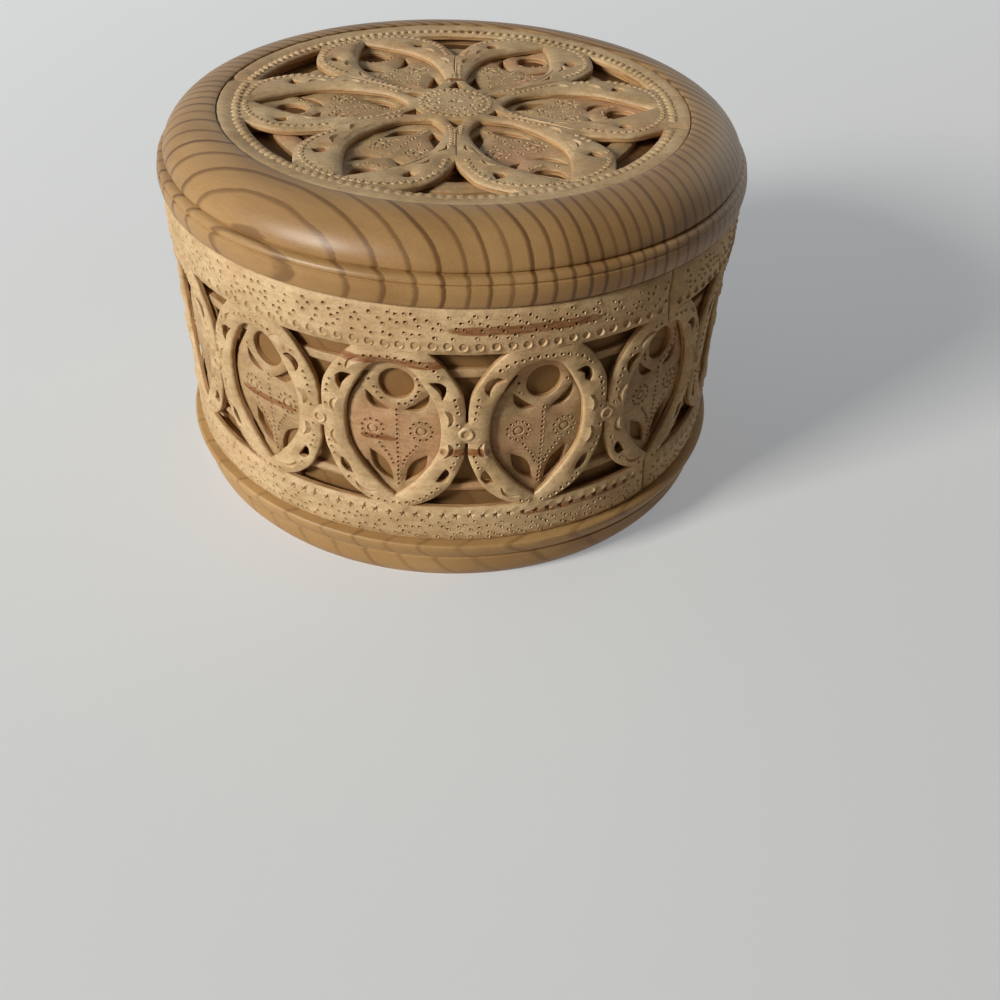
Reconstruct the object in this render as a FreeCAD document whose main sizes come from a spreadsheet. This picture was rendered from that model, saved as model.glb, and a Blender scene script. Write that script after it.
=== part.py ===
import FreeCAD, Part
import os
import re
import Sketcher
from FreeCAD import Placement, Rotation, Vector

# Round lidded box, about 92 mm across and 60 mm high: a turned pine cup and a turned pine lid, each
# dressed with two layers of birch bark. The outer layer is cut into openwork, and the inner layer
# behind it is cut with tulips, so that the wood shows at the bottom of the deepest openings.
# Millimetres, +Z up, origin at the centre of the underside. The front is -Y, and angles round the
# wall are degrees from the front towards +X.

SIZES = {
    # Wall: radius of the bark's outer face at its foot, and how much wider it is at its top
    "wall_radius": 44.6,
    "wall_flare": 1.1,
    "parting_height": 49.7,
    # Turned cup
    "foot_inset": 1.6,
    "foot_height": 4.9,
    "ledge_overhang": 1.2,
    "ledge_height": 2.7,
    "ledge_round": 0.6,
    "groove_depth": 1.1,
    "groove_width": 0.7,
    "floor_thickness": 6.0,
    "floor_fillet": 1.5,
    "cup_wall": 3.0,
    "lip_thickness": 2.0,
    "lip_height": 4.2,
    "lip_chamfer": 0.4,
    # Bark on the wall
    "openwork_thickness": 1.3,
    "stamped_thickness": 1.2,
    "layer_clearance": 0.03,
    "parting_clearance": 0.2,
    "high_strip": 7.2,
    "low_strip": 6.5,
    "medallion_count": 13,
    "medallion_angle": 19.5,
    "layer_shift_angle": 0.95,
    "seam_angle": 47.0,
    "inner_seam_angle": 228.0,
    "seam_width": 0.25,
    # Drop opening of one medallion
    "drop_tip_margin": 1.7,
    "drop_crown_margin": 1.9,
    "drop_half_width": 7.1,
    "drop_crown_half_width": 5.2,
    "drop_crown_rise": 4.4,
    "drop_hip_half_width": 6.1,
    "drop_hip_rise": 7.5,
    # Half-moon cut in each corner of a medallion
    "moon_across": 7.1,
    "moon_up": 8.2,
    "moon_width": 2.0,
    "moon_height": 2.8,
    # Gaps above and below the boss that joins two medallions
    "boss_height": 3.6,
    "boss_level": 0.25,
    "slit_width": 0.5,
    "high_gap_half_width": 5.4,
    "low_gap_half_width": 8.3,
    "gap_flank": 0.9,
    # Tulip cut in the inner layer behind each medallion
    "bud_radius": 2.7,
    "bud_drop": 4.0,
    "calyx_reach": 4.0,
    "calyx_width": 1.1,
    "leaf_reach": 4.0,
    "leaf_length": 5.2,
    "leaf_width": 1.7,
    "leaf_rise": 2.0,
    # Bars that cross the gaps of the inner layer
    "bar_height": 1.4,
    "bar_inset": 3.2,
    "window_half_width": 6.6,
    "window_waist": 2.2,
    "window_reach": 0.9,
    # Turned lid
    "bead_bulge": 0.4,
    "quirk_inset": 1.1,
    "apron_height": 4.6,
    "shoulder_inset": 1.1,
    "shoulder_rise": 3.1,
    "dome_width": 7.1,
    "dome_rise": 2.7,
    "socket_clearance": 0.08,
    "socket_depth": 4.8,
    # Bark set into the lid
    "inlay_clearance": 0.1,
    "inlay_drop": 0.15,
    "petal_count": 6,
    "petal_angle": 3.5,
    "rosette_shift_angle": 1.0,
    "rim_width": 4.05,
    "hub_radius": 5.9,
    "petal_tip_margin": 1.35,
    "petal_root_margin": 1.4,
    "petal_half_width": 5.9,
    "petal_tip_length": 10.0,
    "petal_root_half_width": 4.2,
    "petal_root_length": 3.9,
    "eyelet_radius": 0.9,
    "eyelet_inset": 5.35,
    "eyelet_angle": 16.0,
    "web_length": 10.75,
    "web_half_width": 8.4,
    "web_waist": 2.5,
    "web_corner": 1.1,
    "sliver_gap": 0.5,
    "sliver_length": 3.0,
    "sliver_half_width": 1.2,
    # Tulip cut in the inner layer behind each petal, and the strap across each web
    "petal_bud_radius": 2.1,
    "petal_bud_inset": 8.35,
    "petal_leaf_length": 4.4,
    "petal_leaf_width": 1.6,
    "petal_leaf_reach": 3.6,
    "petal_leaf_rise": 1.9,
    "strap_width": 2.3,
    "strap_inset": 3.65,
    "strap_overlap": 0.8,
    # How far a cutting outline runs past what it cuts
    "overrun": 2.0,
}

# Formulas over the names above
LEDGE_START = "foot_height + groove_width"
SEAT = "foot_height + groove_width + ledge_height"
BAND_TOP = "parting_height - parting_clearance"
WALL_TOP_RADIUS = "wall_radius + wall_flare"
LAYERS = "openwork_thickness + stamped_thickness + 2 * layer_clearance"
CUP_RADIUS = f"wall_radius - ({LAYERS}) - cup_wall"
WALL_DEPTH = f"cup_wall + {LAYERS} + wall_flare + overrun"
RING_LOW = SEAT + " + low_strip"
RING_HIGH = BAND_TOP + " - high_strip"
RING_MIDDLE = f"({RING_LOW} + {RING_HIGH}) / 2"
DROP_TIP = RING_LOW + " + drop_tip_margin"
DROP_CROWN = RING_HIGH + " - drop_crown_margin"
HALF_PITCH = "180 / medallion_count"
QUIRK_RADIUS = WALL_TOP_RADIUS + " - quirk_inset"
QUIRK_HEIGHT = "parting_height + apron_height"
SHOULDER_RADIUS = QUIRK_RADIUS + " - shoulder_inset"
SHOULDER_HEIGHT = QUIRK_HEIGHT + " + shoulder_rise"
CREST_HEIGHT = SHOULDER_HEIGHT + " + dome_rise"
INLAY_RADIUS = SHOULDER_RADIUS + " - dome_width"
INLAY_TOP = CREST_HEIGHT + " - inlay_drop"
RIM_INNER = INLAY_RADIUS + " - rim_width"
PETAL_TIP = RIM_INNER + " - petal_tip_margin"
PETAL_ROOT = "hub_radius + petal_root_margin"

doc = FreeCAD.newDocument("birch_bark_box")


def make_sheet():
    """Write each driving dimension into a cell that has its name as alias."""
    sheet = doc.addObject("Spreadsheet::Sheet", "Sizes")
    for row, (name, number) in enumerate(SIZES.items(), start=1):
        sheet.set(f"A{row}", name)
        sheet.set(f"B{row}", str(number))
        sheet.setAlias(f"B{row}", name)
    doc.recompute()
    return sheet


def bound(formula):
    """Return a formula over the sizes as an expression that FreeCAD can follow."""
    return re.sub(r"[a-z]\w*", lambda word: f"Sizes.{word[0]}" if word[0] in SIZES else word[0], formula)


def value(formula):
    """Return a formula's number at the sizes in the sheet."""
    return float(sheet.evalExpression(bound(formula)))


def new_body(name, lift="0", turn="0"):
    """Add a body, raised and turned about the axis by two formulas."""
    body = doc.addObject("PartDesign::Body", name)
    body.Label = name
    body.Placement.Rotation = Rotation(Vector(0, 0, 1), 0)
    body.setExpression("Placement.Base.z", bound(lift))
    body.setExpression("Placement.Rotation.Angle", bound(turn))
    return body


def origin_part(body, role):
    """Find one of a body's own origin planes or axes."""
    return next(item for item in body.Origin.OriginFeatures if item.Role == role)


def new_sketch(body, name, plane="XZ_Plane", turn="0", out="0"):
    """Add a sketch on an origin plane, turned about the box's axis and moved out from it by formulas."""
    sketch = body.newObject("Sketcher::SketchObject", name)
    sketch.AttachmentSupport = [(origin_part(body, plane), "")]
    sketch.MapMode = "FlatFace"
    upright = Vector(0, 1, 0) if plane == "XZ_Plane" else Vector(0, 0, 1)
    sketch.AttachmentOffset = Placement(Vector(), Rotation(upright, 1))
    sketch.setExpression("AttachmentOffset.Rotation.Angle", bound(turn))
    sketch.setExpression("AttachmentOffset.Base.x", bound(f"{out} * sin({turn})"))
    sketch.setExpression("AttachmentOffset.Base.z", bound(f"{out} * cos({turn})"))
    return sketch


def wall_sketch(body, name, turn="0"):
    """Add an upright sketch that faces the wall from just inside the cup's own."""
    return new_sketch(body, name, turn=turn, out=f"({CUP_RADIUS})")


def pin(sketch, item, end, x, y):
    """Hold one point of a sketch at two formulas, measured from the sketch's origin."""
    for kind, formula in (("DistanceX", x), ("DistanceY", y)):
        index = sketch.addConstraint(Sketcher.Constraint(kind, -1, 1, item, end, value(formula)))
        sketch.setExpression(f"Constraints[{index}]", bound(formula))


def draw(sketch, corners):
    """Draw a closed outline. A corner is (x, y), or (x, y, via_x, via_y) where an arc leads on."""
    edges = []
    for corner, following in zip(corners, corners[1:] + corners[:1]):
        start, finish = (Vector(value(point[0]), value(point[1]), 0) for point in (corner, following))
        if len(corner) == 2:
            edges.append((sketch.addGeometry(Part.LineSegment(start, finish)), 1, 2))
            continue
        via = Vector(value(corner[2]), value(corner[3]), 0)
        arc = Part.Arc(start, via, finish)
        item = sketch.addGeometry(arc)
        forward = sketch.getPoint(item, 1).distanceToPoint(start) < 1e-6
        edges.append((item, 1, 2) if forward else (item, 2, 1))
        point = sketch.addGeometry(Part.Point(via), True)
        sketch.addConstraint(Sketcher.Constraint("PointOnObject", point, 1, item))
        pin(sketch, point, 1, corner[2], corner[3])
    for corner, edge, previous in zip(corners, edges, edges[-1:] + edges[:-1]):
        sketch.addConstraint(Sketcher.Constraint("Coincident", previous[0], previous[2], edge[0], edge[1]))
        pin(sketch, edge[0], edge[1], corner[0], corner[1])


def mirrored(half):
    """Complete an outline from its right half, which runs from one end on the middle line to the other.

    Each corner of the half is (x, y) or (x, y, via_x, via_y), and the via leads on to the next corner.
    """
    back = []
    for corner, leading in zip(half[-2:0:-1], half[-3::-1]):
        via = (f"-({leading[2]})", leading[3]) if len(leading) == 4 else ()
        back.append((f"-({corner[0]})", corner[1]) + via)
    last, leading = half[-1], half[-2]
    turn = (last[0], last[1]) + ((f"-({leading[2]})", leading[3]) if len(leading) == 4 else ())
    return half[:-1] + [turn] + back


def circle(sketch, x, y, radius):
    """Draw a circle from three formulas."""
    item = sketch.addGeometry(Part.Circle(Vector(value(x), value(y), 0), Vector(0, 0, 1), value(radius)))
    pin(sketch, item, 3, x, y)
    index = sketch.addConstraint(Sketcher.Constraint("Radius", item, value(radius)))
    sketch.setExpression(f"Constraints[{index}]", bound(radius))


def revolve(body, name, corners):
    """Turn a closed half section about the box's axis."""
    sketch = new_sketch(body, name + "_section")
    draw(sketch, corners)
    turned = body.newObject("PartDesign::Revolution", name)
    turned.Profile = (sketch, [""])
    turned.ReferenceAxis = (sketch, ["V_Axis"])
    turned.Angle = 360
    doc.recompute()
    return turned


def cut(body, name, sketch, length=None):
    """Cut a sketch through a flat sheet, or out through the front wall where a length is given."""
    before = body.Shape.Volume
    pocket = body.newObject("PartDesign::Pocket", name)
    pocket.Profile = (sketch, [""])
    if length is None:
        pocket.Type = "ThroughAll"
        pocket.Midplane = True
    else:
        pocket.Type = "Length"
        pocket.setExpression("Length", bound(length))
        pocket.Reversed = True
    doc.recompute()
    if body.Shape.Volume > before - 1e-3:
        raise RuntimeError(name + " cuts nothing")
    return pocket


def repeat(body, name, features, count):
    """Repeat cuts evenly round the box's axis."""
    pattern = body.newObject("PartDesign::PolarPattern", name)
    pattern.Originals = features
    pattern.Axis = (origin_part(body, "Z_Axis"), [""])
    pattern.Angle = 360
    pattern.setExpression("Occurrences", bound(count))
    body.Tip = pattern
    doc.recompute()
    return pattern


def make_turned_cup():
    """Foot, grooved ledge, wall behind the bark, and the lip that the lid drops over."""
    body = new_body("turned_cup")
    core_foot = f"wall_radius - ({LAYERS})"
    core_top = f"{WALL_TOP_RADIUS} - ({LAYERS})"
    ledge = "wall_radius + ledge_overhang"
    groove = f"{ledge} - groove_depth"
    foot = "wall_radius - foot_inset"
    lip = f"{CUP_RADIUS} + lip_thickness"
    lip_top = "parting_height + lip_height"
    revolve(body, "turning", [
        ("0", "0"),
        (foot, "0", f"({foot}) * 0.3 + ({groove}) * 0.7", "foot_height * 0.45"),
        (groove, "foot_height"),
        (f"{groove} - groove_width / 2", "foot_height + groove_width / 2"),
        (f"{groove} + groove_depth * 0.2", LEDGE_START,
         f"{groove} + groove_depth * 0.7", f"{LEDGE_START} + (ledge_height - ledge_round) / 2"),
        (ledge, f"{SEAT} - ledge_round", f"{ledge} - ledge_round * 0.29", f"{SEAT} - ledge_round * 0.29"),
        (f"{ledge} - ledge_round", SEAT),
        (core_foot, SEAT),
        (core_top, BAND_TOP),
        (core_top, "parting_height"),
        (lip, "parting_height"),
        (lip, f"{lip_top} - lip_chamfer"),
        (f"{lip} - lip_chamfer", lip_top),
        (CUP_RADIUS, lip_top),
        (CUP_RADIUS, "floor_thickness + floor_fillet",
         f"{CUP_RADIUS} - floor_fillet * 0.29", "floor_thickness + floor_fillet * 0.29"),
        (f"{CUP_RADIUS} - floor_fillet", "floor_thickness"),
        ("0", "floor_thickness"),
    ])
    return body


def band(name, outside, thickness, turn):
    """A strip of bark bent round the wall, its outer face a given depth inside the wall's own."""
    body = new_body(name, turn=turn)
    revolve(body, name + "_strip", [
        (f"wall_radius - ({outside})", SEAT),
        (f"{WALL_TOP_RADIUS} - ({outside})", BAND_TOP),
        (f"{WALL_TOP_RADIUS} - ({outside}) - {thickness}", BAND_TOP),
        (f"wall_radius - ({outside}) - {thickness}", SEAT),
    ])
    return body


def seam(body, name, angle):
    """The butt joint where the two ends of a strip meet."""
    sketch = wall_sketch(body, name + "_outline", angle)
    half, low, high = "seam_width / 2", f"{SEAT} - overrun", f"{BAND_TOP} + overrun"
    draw(sketch, [(f"-{half}", low), (half, low), (half, high), (f"-{half}", high)])
    cut(body, name, sketch, WALL_DEPTH)


def make_openwork_band():
    """Outer strip: drop openings with half-moon corners, and gaps that part the medallions."""
    body = band("openwork_band", "0", "openwork_thickness", "medallion_angle")

    drop = wall_sketch(body, "drop_outline")
    hip = f"{DROP_TIP} + drop_hip_rise"
    draw(drop, mirrored([
        ("0", DROP_TIP, "drop_hip_half_width * 0.57", f"{DROP_TIP} + drop_hip_rise * 0.48"),
        ("drop_hip_half_width", hip, "drop_half_width", f"({hip} + {DROP_CROWN} - drop_crown_rise) / 2"),
        ("drop_crown_half_width", f"{DROP_CROWN} - drop_crown_rise",
         "drop_crown_half_width * 0.71", f"{DROP_CROWN} - drop_crown_rise * 0.31"),
        ("0", DROP_CROWN),
    ]))

    moons = wall_sketch(body, "moon_outlines")
    for side in ("", "-"):
        for up in ("+", "-"):
            near, far = f"{side}(moon_across - moon_width / 2)", f"{side}(moon_across + moon_width / 2)"
            inner = f"{RING_MIDDLE} {up} (moon_up - moon_height / 2)"
            outer = f"{RING_MIDDLE} {up} (moon_up + moon_height / 2)"
            draw(moons, [
                (far, inner, f"{side}(moon_across + moon_width * 0.55)",
                 f"{RING_MIDDLE} {up} (moon_up + moon_height * 0.36)"),
                (near, outer, f"{side}(moon_across - moon_width * 0.05)",
                 f"{RING_MIDDLE} {up} (moon_up - moon_height * 0.05)"),
            ])

    gaps = wall_sketch(body, "gap_outlines", HALF_PITCH)
    boss = f"{RING_MIDDLE} + boss_level"
    flank = "slit_width / 2 + gap_flank"
    draw(gaps, [
        ("slit_width / 2", f"{boss} + boss_height / 2", flank, f"{RING_HIGH} - high_gap_half_width * 1.15"),
        ("high_gap_half_width", RING_HIGH),
        ("-high_gap_half_width", RING_HIGH, f"-({flank})", f"{RING_HIGH} - high_gap_half_width * 1.15"),
        ("-slit_width / 2", f"{boss} + boss_height / 2"),
    ])
    draw(gaps, [
        ("slit_width / 2", f"{boss} - boss_height / 2", flank, f"{RING_LOW} + low_gap_half_width * 0.9"),
        ("low_gap_half_width", RING_LOW),
        ("-low_gap_half_width", RING_LOW, f"-({flank})", f"{RING_LOW} + low_gap_half_width * 0.9"),
        ("-slit_width / 2", f"{boss} - boss_height / 2"),
    ])

    outlines = (("drop", drop), ("moons", moons), ("gaps", gaps))
    cuts = [cut(body, name, sketch, WALL_DEPTH) for name, sketch in outlines]
    repeat(body, "medallions", cuts, "medallion_count")
    seam(body, "butt_joint", "seam_angle - medallion_angle")
    return body


def leaf(sketch, side, tip, foot, belly, spine):
    """Draw a leaf between two points; belly and spine are the points that its two edges pass."""
    (x1, y1), (x2, y2), (x3, y3), (x4, y4) = (
        (f"{side}({x})", y) for x, y in (tip, foot, belly, spine))
    draw(sketch, [(x1, y1, x3, y3), (x2, y2, x4, y4)])


def make_stamped_band():
    """Inner strip: a tulip behind each medallion, and barred windows behind the gaps."""
    body = band("stamped_band", "openwork_thickness + layer_clearance", "stamped_thickness",
                "medallion_angle + layer_shift_angle")

    tulip = wall_sketch(body, "tulip_outlines")
    bud = f"{DROP_CROWN} - bud_drop"
    circle(tulip, "0", bud, "bud_radius")
    for side in ("", "-"):
        top, low = f"{bud} - bud_radius * 0.55", f"{bud} - bud_radius * 1.6"
        leaf(tulip, side, ("calyx_reach", top), ("calyx_reach * 0.25", low),
             ("calyx_reach * 0.8", f"{low} + bud_radius * 0.2"),
             ("calyx_reach * 0.8 - calyx_width * 0.7", f"{low} + bud_radius * 0.2 + calyx_width * 0.7"))
        foot = f"{DROP_TIP} + leaf_rise"
        leaf(tulip, side, ("leaf_reach", f"{foot} + leaf_length"), ("leaf_reach * 0.2", foot),
             ("leaf_reach * 0.78", f"{foot} + leaf_length * 0.38"),
             ("leaf_reach * 0.78 - leaf_width * 0.85", f"{foot} + leaf_length * 0.38 + leaf_width * 0.55"))

    windows = wall_sketch(body, "window_outlines", HALF_PITCH)
    high_bar, low_bar = f"{RING_HIGH} - bar_inset", f"{RING_LOW} + bar_inset + bar_height / 2"
    side, waist = "window_half_width", "window_waist"
    draw(windows, [
        (f"-{side}", high_bar),
        (side, high_bar),
        (side, f"{RING_HIGH} + window_reach"),
        (f"-{side}", f"{RING_HIGH} + window_reach"),
    ])
    draw(windows, [
        (side, f"{high_bar} - bar_height", waist, RING_MIDDLE),
        (side, f"{low_bar} + bar_height"),
        (f"-{side}", f"{low_bar} + bar_height", f"-{waist}", RING_MIDDLE),
        (f"-{side}", f"{high_bar} - bar_height"),
    ])
    draw(windows, [
        (f"-{side}", f"{RING_LOW} - window_reach"),
        (side, f"{RING_LOW} - window_reach"),
        (side, low_bar),
        (f"-{side}", low_bar),
    ])

    cuts = [cut(body, "tulip", tulip, WALL_DEPTH), cut(body, "windows", windows, WALL_DEPTH)]
    repeat(body, "tulips", cuts, "medallion_count")
    seam(body, "inner_butt_joint", "inner_seam_angle - medallion_angle - layer_shift_angle")
    return body


def make_turned_lid():
    """Beaded apron, domed shoulder, recess for the bark and the socket that fits the lip."""
    body = new_body("turned_lid")
    socket = f"{CUP_RADIUS} + lip_thickness + socket_clearance"
    ceiling = "parting_height + socket_depth"
    floor = f"{INLAY_TOP} - openwork_thickness - stamped_thickness - layer_clearance"
    revolve(body, "lid_turning", [
        (socket, "parting_height"),
        (WALL_TOP_RADIUS, "parting_height",
         f"{WALL_TOP_RADIUS} + bead_bulge", "parting_height + apron_height * 0.6"),
        (QUIRK_RADIUS, QUIRK_HEIGHT,
         f"{QUIRK_RADIUS} + shoulder_inset * 0.13", f"{QUIRK_HEIGHT} + shoulder_rise * 0.33"),
        (SHOULDER_RADIUS, SHOULDER_HEIGHT,
         f"{SHOULDER_RADIUS} - dome_width * 0.38", f"{SHOULDER_HEIGHT} + dome_rise * 0.73"),
        (INLAY_RADIUS, CREST_HEIGHT),
        (INLAY_RADIUS, floor),
        ("0", floor),
        ("0", ceiling),
        (socket, ceiling),
    ])
    return body


def disc(name, underside, thickness, turn):
    """A flat round sheet of bark in the lid's recess."""
    body = new_body(name, lift=underside, turn=turn)
    outline = new_sketch(body, name + "_outline", "XY_Plane")
    circle(outline, "0", "0", f"{INLAY_RADIUS} - inlay_clearance")
    sheet_pad = body.newObject("PartDesign::Pad", name + "_sheet")
    sheet_pad.Profile = (outline, [""])
    sheet_pad.setExpression("Length", bound(thickness))
    doc.recompute()
    return body


def make_openwork_rosette():
    """Outer sheet: six drop petals round a hub, inside a rim."""
    body = disc("openwork_rosette", f"{INLAY_TOP} - openwork_thickness", "openwork_thickness", "petal_angle")

    petal = new_sketch(body, "petal_outline", "XY_Plane")
    hip = f"{PETAL_TIP} - petal_tip_length"
    root = f"{PETAL_ROOT} + petal_root_length"
    half = [
        (PETAL_TIP, "0", f"{PETAL_TIP} - petal_tip_length * 0.45", "petal_half_width * 0.66"),
        (hip, "petal_half_width", f"({hip} + {root}) / 2", "petal_half_width * 0.92"),
        (root, "petal_root_half_width",
         f"{PETAL_ROOT} + petal_root_length * 0.3", "petal_root_half_width * 0.71"),
        (PETAL_ROOT, "0"),
    ]
    draw(petal, across(half))
    for side in ("", "-"):
        circle(petal, f"({RIM_INNER} - eyelet_inset) * cos(eyelet_angle)",
               f"{side}({RIM_INNER} - eyelet_inset) * sin(eyelet_angle)", "eyelet_radius")

    webs = new_sketch(body, "web_outlines", "XY_Plane", turn="180 / petal_count")
    draw(webs, [
        (f"{RIM_INNER} - web_length", "0", f"{RIM_INNER} - web_length * 0.42", "-web_waist"),
        (f"{RIM_INNER} - web_corner", "-web_half_width", RIM_INNER, "0"),
        (f"{RIM_INNER} - web_corner", "web_half_width", f"{RIM_INNER} - web_length * 0.42", "web_waist"),
    ])
    draw(webs, [
        ("hub_radius + sliver_gap", "-sliver_half_width"),
        ("hub_radius + sliver_gap + sliver_length", "0"),
        ("hub_radius + sliver_gap", "sliver_half_width"),
    ])
    cuts = [cut(body, "petal", petal), cut(body, "webs", webs)]
    repeat(body, "petals", cuts, "petal_count")
    return body


def across(half):
    """Complete an outline from the half above the x axis, which runs from its far to its near end."""
    swapped = [tuple(part for pair in zip(corner[1::2], corner[0::2]) for part in pair) for corner in half]
    return [tuple(part for pair in zip(corner[1::2], corner[0::2]) for part in pair)
            for corner in mirrored(swapped)]


def make_stamped_rosette():
    """Inner sheet: a tulip behind each petal, and a strap across each web."""
    underside = f"{INLAY_TOP} - openwork_thickness - layer_clearance - stamped_thickness"
    body = disc("stamped_rosette", underside, "stamped_thickness", "petal_angle + rosette_shift_angle")

    tulip = new_sketch(body, "petal_tulip_outlines", "XY_Plane")
    circle(tulip, f"{RIM_INNER} - petal_bud_inset", "0", "petal_bud_radius")
    for side in ("", "-"):
        start = f"{PETAL_ROOT} + petal_leaf_rise"
        tip = (f"{start} + petal_leaf_length", f"{side}petal_leaf_reach")
        foot = (start, f"{side}petal_leaf_reach * 0.3")
        belly = (f"{start} + petal_leaf_length * 0.3", f"{side}petal_leaf_reach * 0.85")
        spine = (f"{start} + petal_leaf_length * 0.3 + petal_leaf_width * 0.7",
                 f"{side}(petal_leaf_reach * 0.85 - petal_leaf_width * 0.6)")
        draw(tulip, [tip + belly, foot + spine])

    webs = new_sketch(body, "strap_outlines", "XY_Plane", turn="180 / petal_count")
    outer = f"{RIM_INNER} - strap_inset"
    inner = f"{outer} - strap_width"
    waist = "web_waist + strap_overlap"
    edge, rim = "web_half_width", f"{RIM_INNER} + strap_overlap"
    draw(webs, [
        (f"{RIM_INNER} - web_length - strap_overlap", "0"),
        (f"{inner} - strap_overlap", f"-({waist})", inner, "0"),
        (f"{inner} - strap_overlap", waist),
    ])
    draw(webs, [
        (f"{outer} - web_corner", f"-{edge}", outer, "0"),
        (f"{outer} - web_corner", edge),
        (f"{rim} - web_corner", edge, rim, "0"),
        (f"{rim} - web_corner", f"-{edge}"),
    ])
    cuts = [cut(body, "petal_tulip", tulip), cut(body, "straps", webs)]
    repeat(body, "petal_tulips", cuts, "petal_count")
    return body


def check_and_export(bodies):
    """Refuse a failed object or a bad solid, then write one STEP file for each piece."""
    failed = [item.Name for item in doc.Objects if {"Invalid", "Error"} & set(item.State)]
    if failed:
        raise RuntimeError("failed objects: " + ", ".join(failed))
    os.makedirs("parts", exist_ok=True)
    for body in bodies:
        shape = body.Shape
        if shape.isNull() or not shape.isValid() or len(shape.Solids) != 1:
            raise RuntimeError(body.Label + " is not one valid solid")
        shape.exportStep(f"parts/{body.Label}.step")
        print(f"{body.Label}: {shape.Volume:.0f} mm3")


sheet = make_sheet()
pieces = [
    make_turned_cup(),
    make_stamped_band(),
    make_openwork_band(),
    make_turned_lid(),
    make_stamped_rosette(),
    make_openwork_rosette(),
]
doc.recompute()
check_and_export(pieces)
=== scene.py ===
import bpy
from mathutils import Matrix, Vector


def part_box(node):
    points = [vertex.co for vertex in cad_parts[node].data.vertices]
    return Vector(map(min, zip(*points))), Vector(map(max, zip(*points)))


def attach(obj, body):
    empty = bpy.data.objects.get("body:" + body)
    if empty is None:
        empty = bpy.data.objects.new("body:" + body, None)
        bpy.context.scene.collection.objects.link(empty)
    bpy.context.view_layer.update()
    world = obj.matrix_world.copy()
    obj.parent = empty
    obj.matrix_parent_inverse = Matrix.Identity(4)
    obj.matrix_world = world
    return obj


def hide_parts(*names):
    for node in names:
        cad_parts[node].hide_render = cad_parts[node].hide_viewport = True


bl_info = {
    "name": "Birch Bark Box",
    "version": (1, 0, 0),
    "blender": (4, 5, 0),
    "location": "View3D > Sidebar > Birch Bark Box",
    "description": "A turned pine box dressed with two layers of cut and stamped birch bark",
    "category": "Object",
}

import math
import random

import bpy
import numpy as np
from mathutils import Matrix, Vector, kdtree, noise
from mathutils.geometry import delaunay_2d_cdt

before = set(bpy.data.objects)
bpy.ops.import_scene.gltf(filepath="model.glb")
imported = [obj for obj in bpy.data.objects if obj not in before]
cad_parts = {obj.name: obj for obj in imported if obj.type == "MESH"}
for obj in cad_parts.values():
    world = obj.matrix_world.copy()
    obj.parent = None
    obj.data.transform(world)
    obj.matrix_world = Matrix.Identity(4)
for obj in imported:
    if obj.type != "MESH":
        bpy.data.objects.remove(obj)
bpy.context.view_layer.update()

# The bark is laid out flat in millimetres, x along the strip and y up it, and then bent round the
# wall or set into the lid. Blender itself works in metres.
MM = 0.001
BAND_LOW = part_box("openwork_band")[0].z
BAND_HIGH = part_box("openwork_band")[1].z
LID_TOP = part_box("turned_lid")[1].z
INLAY_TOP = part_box("openwork_rosette")[1].z
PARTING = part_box("turned_lid")[0].z

TURN_STEPS = 160
WELD = 2e-6
SMOOTH_ANGLE = math.radians(34)


def length(name, text, default):
    """A size that a user can change, in metres."""
    return bpy.props.FloatProperty(
        name=name, description=text, default=default, min=0.0, precision=5,
        subtype="DISTANCE", unit="LENGTH")


def colour(name, text, red, green, blue):
    """A colour that a user can change, its default given as on a screen, 0 to 255."""
    return bpy.props.FloatVectorProperty(
        name=name, description=text, subtype="COLOR", size=3, min=0.0, max=1.0,
        default=tuple(linear(part) for part in (red, green, blue)))


def linear(part):
    """A screen value of 0 to 255 as the linear value that a shader takes."""
    part /= 255
    return part / 12.92 if part <= 0.04045 else ((part + 0.055) / 1.055) ** 2.4


class BoxSizes(bpy.types.PropertyGroup):
    """Sizes of the box that a maker would set first."""

    wall_radius: length("Wall radius", "Outer face of the bark at the foot of the wall", 0.0446)
    wall_flare: length("Wall flare", "How much wider the wall is at its top", 0.0011)
    band_low: length("Band foot", "Height of the lower edge of the bark", BAND_LOW)
    band_high: length("Band top", "Height of the upper edge of the bark", BAND_HIGH)
    openwork: length("Openwork thickness", "Thickness of the outer layer of bark", 0.0013)
    stamped: length("Stamped thickness", "Thickness of the inner layer of bark", 0.0012)
    clearance: length("Layer clearance", "Room between two layers", 0.00003)
    inlay_radius: length("Inlay radius", "Radius of the bark set into the lid", 0.0363)
    medallions: bpy.props.IntProperty(
        name="Medallions", description="Medallions round the wall", default=13, min=3)
    petals: bpy.props.IntProperty(
        name="Petals", description="Petals on the lid", default=6, min=3)
    medallion_angle: bpy.props.FloatProperty(
        name="Medallion angle", description="Where one medallion stands, from the front",
        default=math.radians(19.5), subtype="ANGLE")
    petal_angle: bpy.props.FloatProperty(
        name="Petal angle", description="Where one petal points, from the right",
        default=math.radians(3.5), subtype="ANGLE")


class BarkFinish(bpy.types.PropertyGroup):
    """Colours of the bark."""

    face: colour("Face", "Bark face where it is palest", 213, 187, 145)
    # The shade colour also serves as painted shade on the inner sheets.
    shade: colour("Shade", "Darker clouds in the face", 179, 149, 106)
    pink: colour("Pink", "Rosy clouds in the face", 203, 158, 120)
    edge: colour("Cut edge", "Freshly cut edge of the bark", 183, 145, 98)
    edge_dark: colour("Cut edge seams", "Dark seams between the bark's own layers", 140, 101, 60)
    streak: colour("Streak", "Breathing pores of the tree, grown across the bark", 130, 79, 35)
    # The hollow colour is painted shade: it darkens the hollows of the marks and the inner sheets.
    hollow: colour("Hollow", "Floor of a prick or a stamp", 98, 66, 38)


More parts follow.
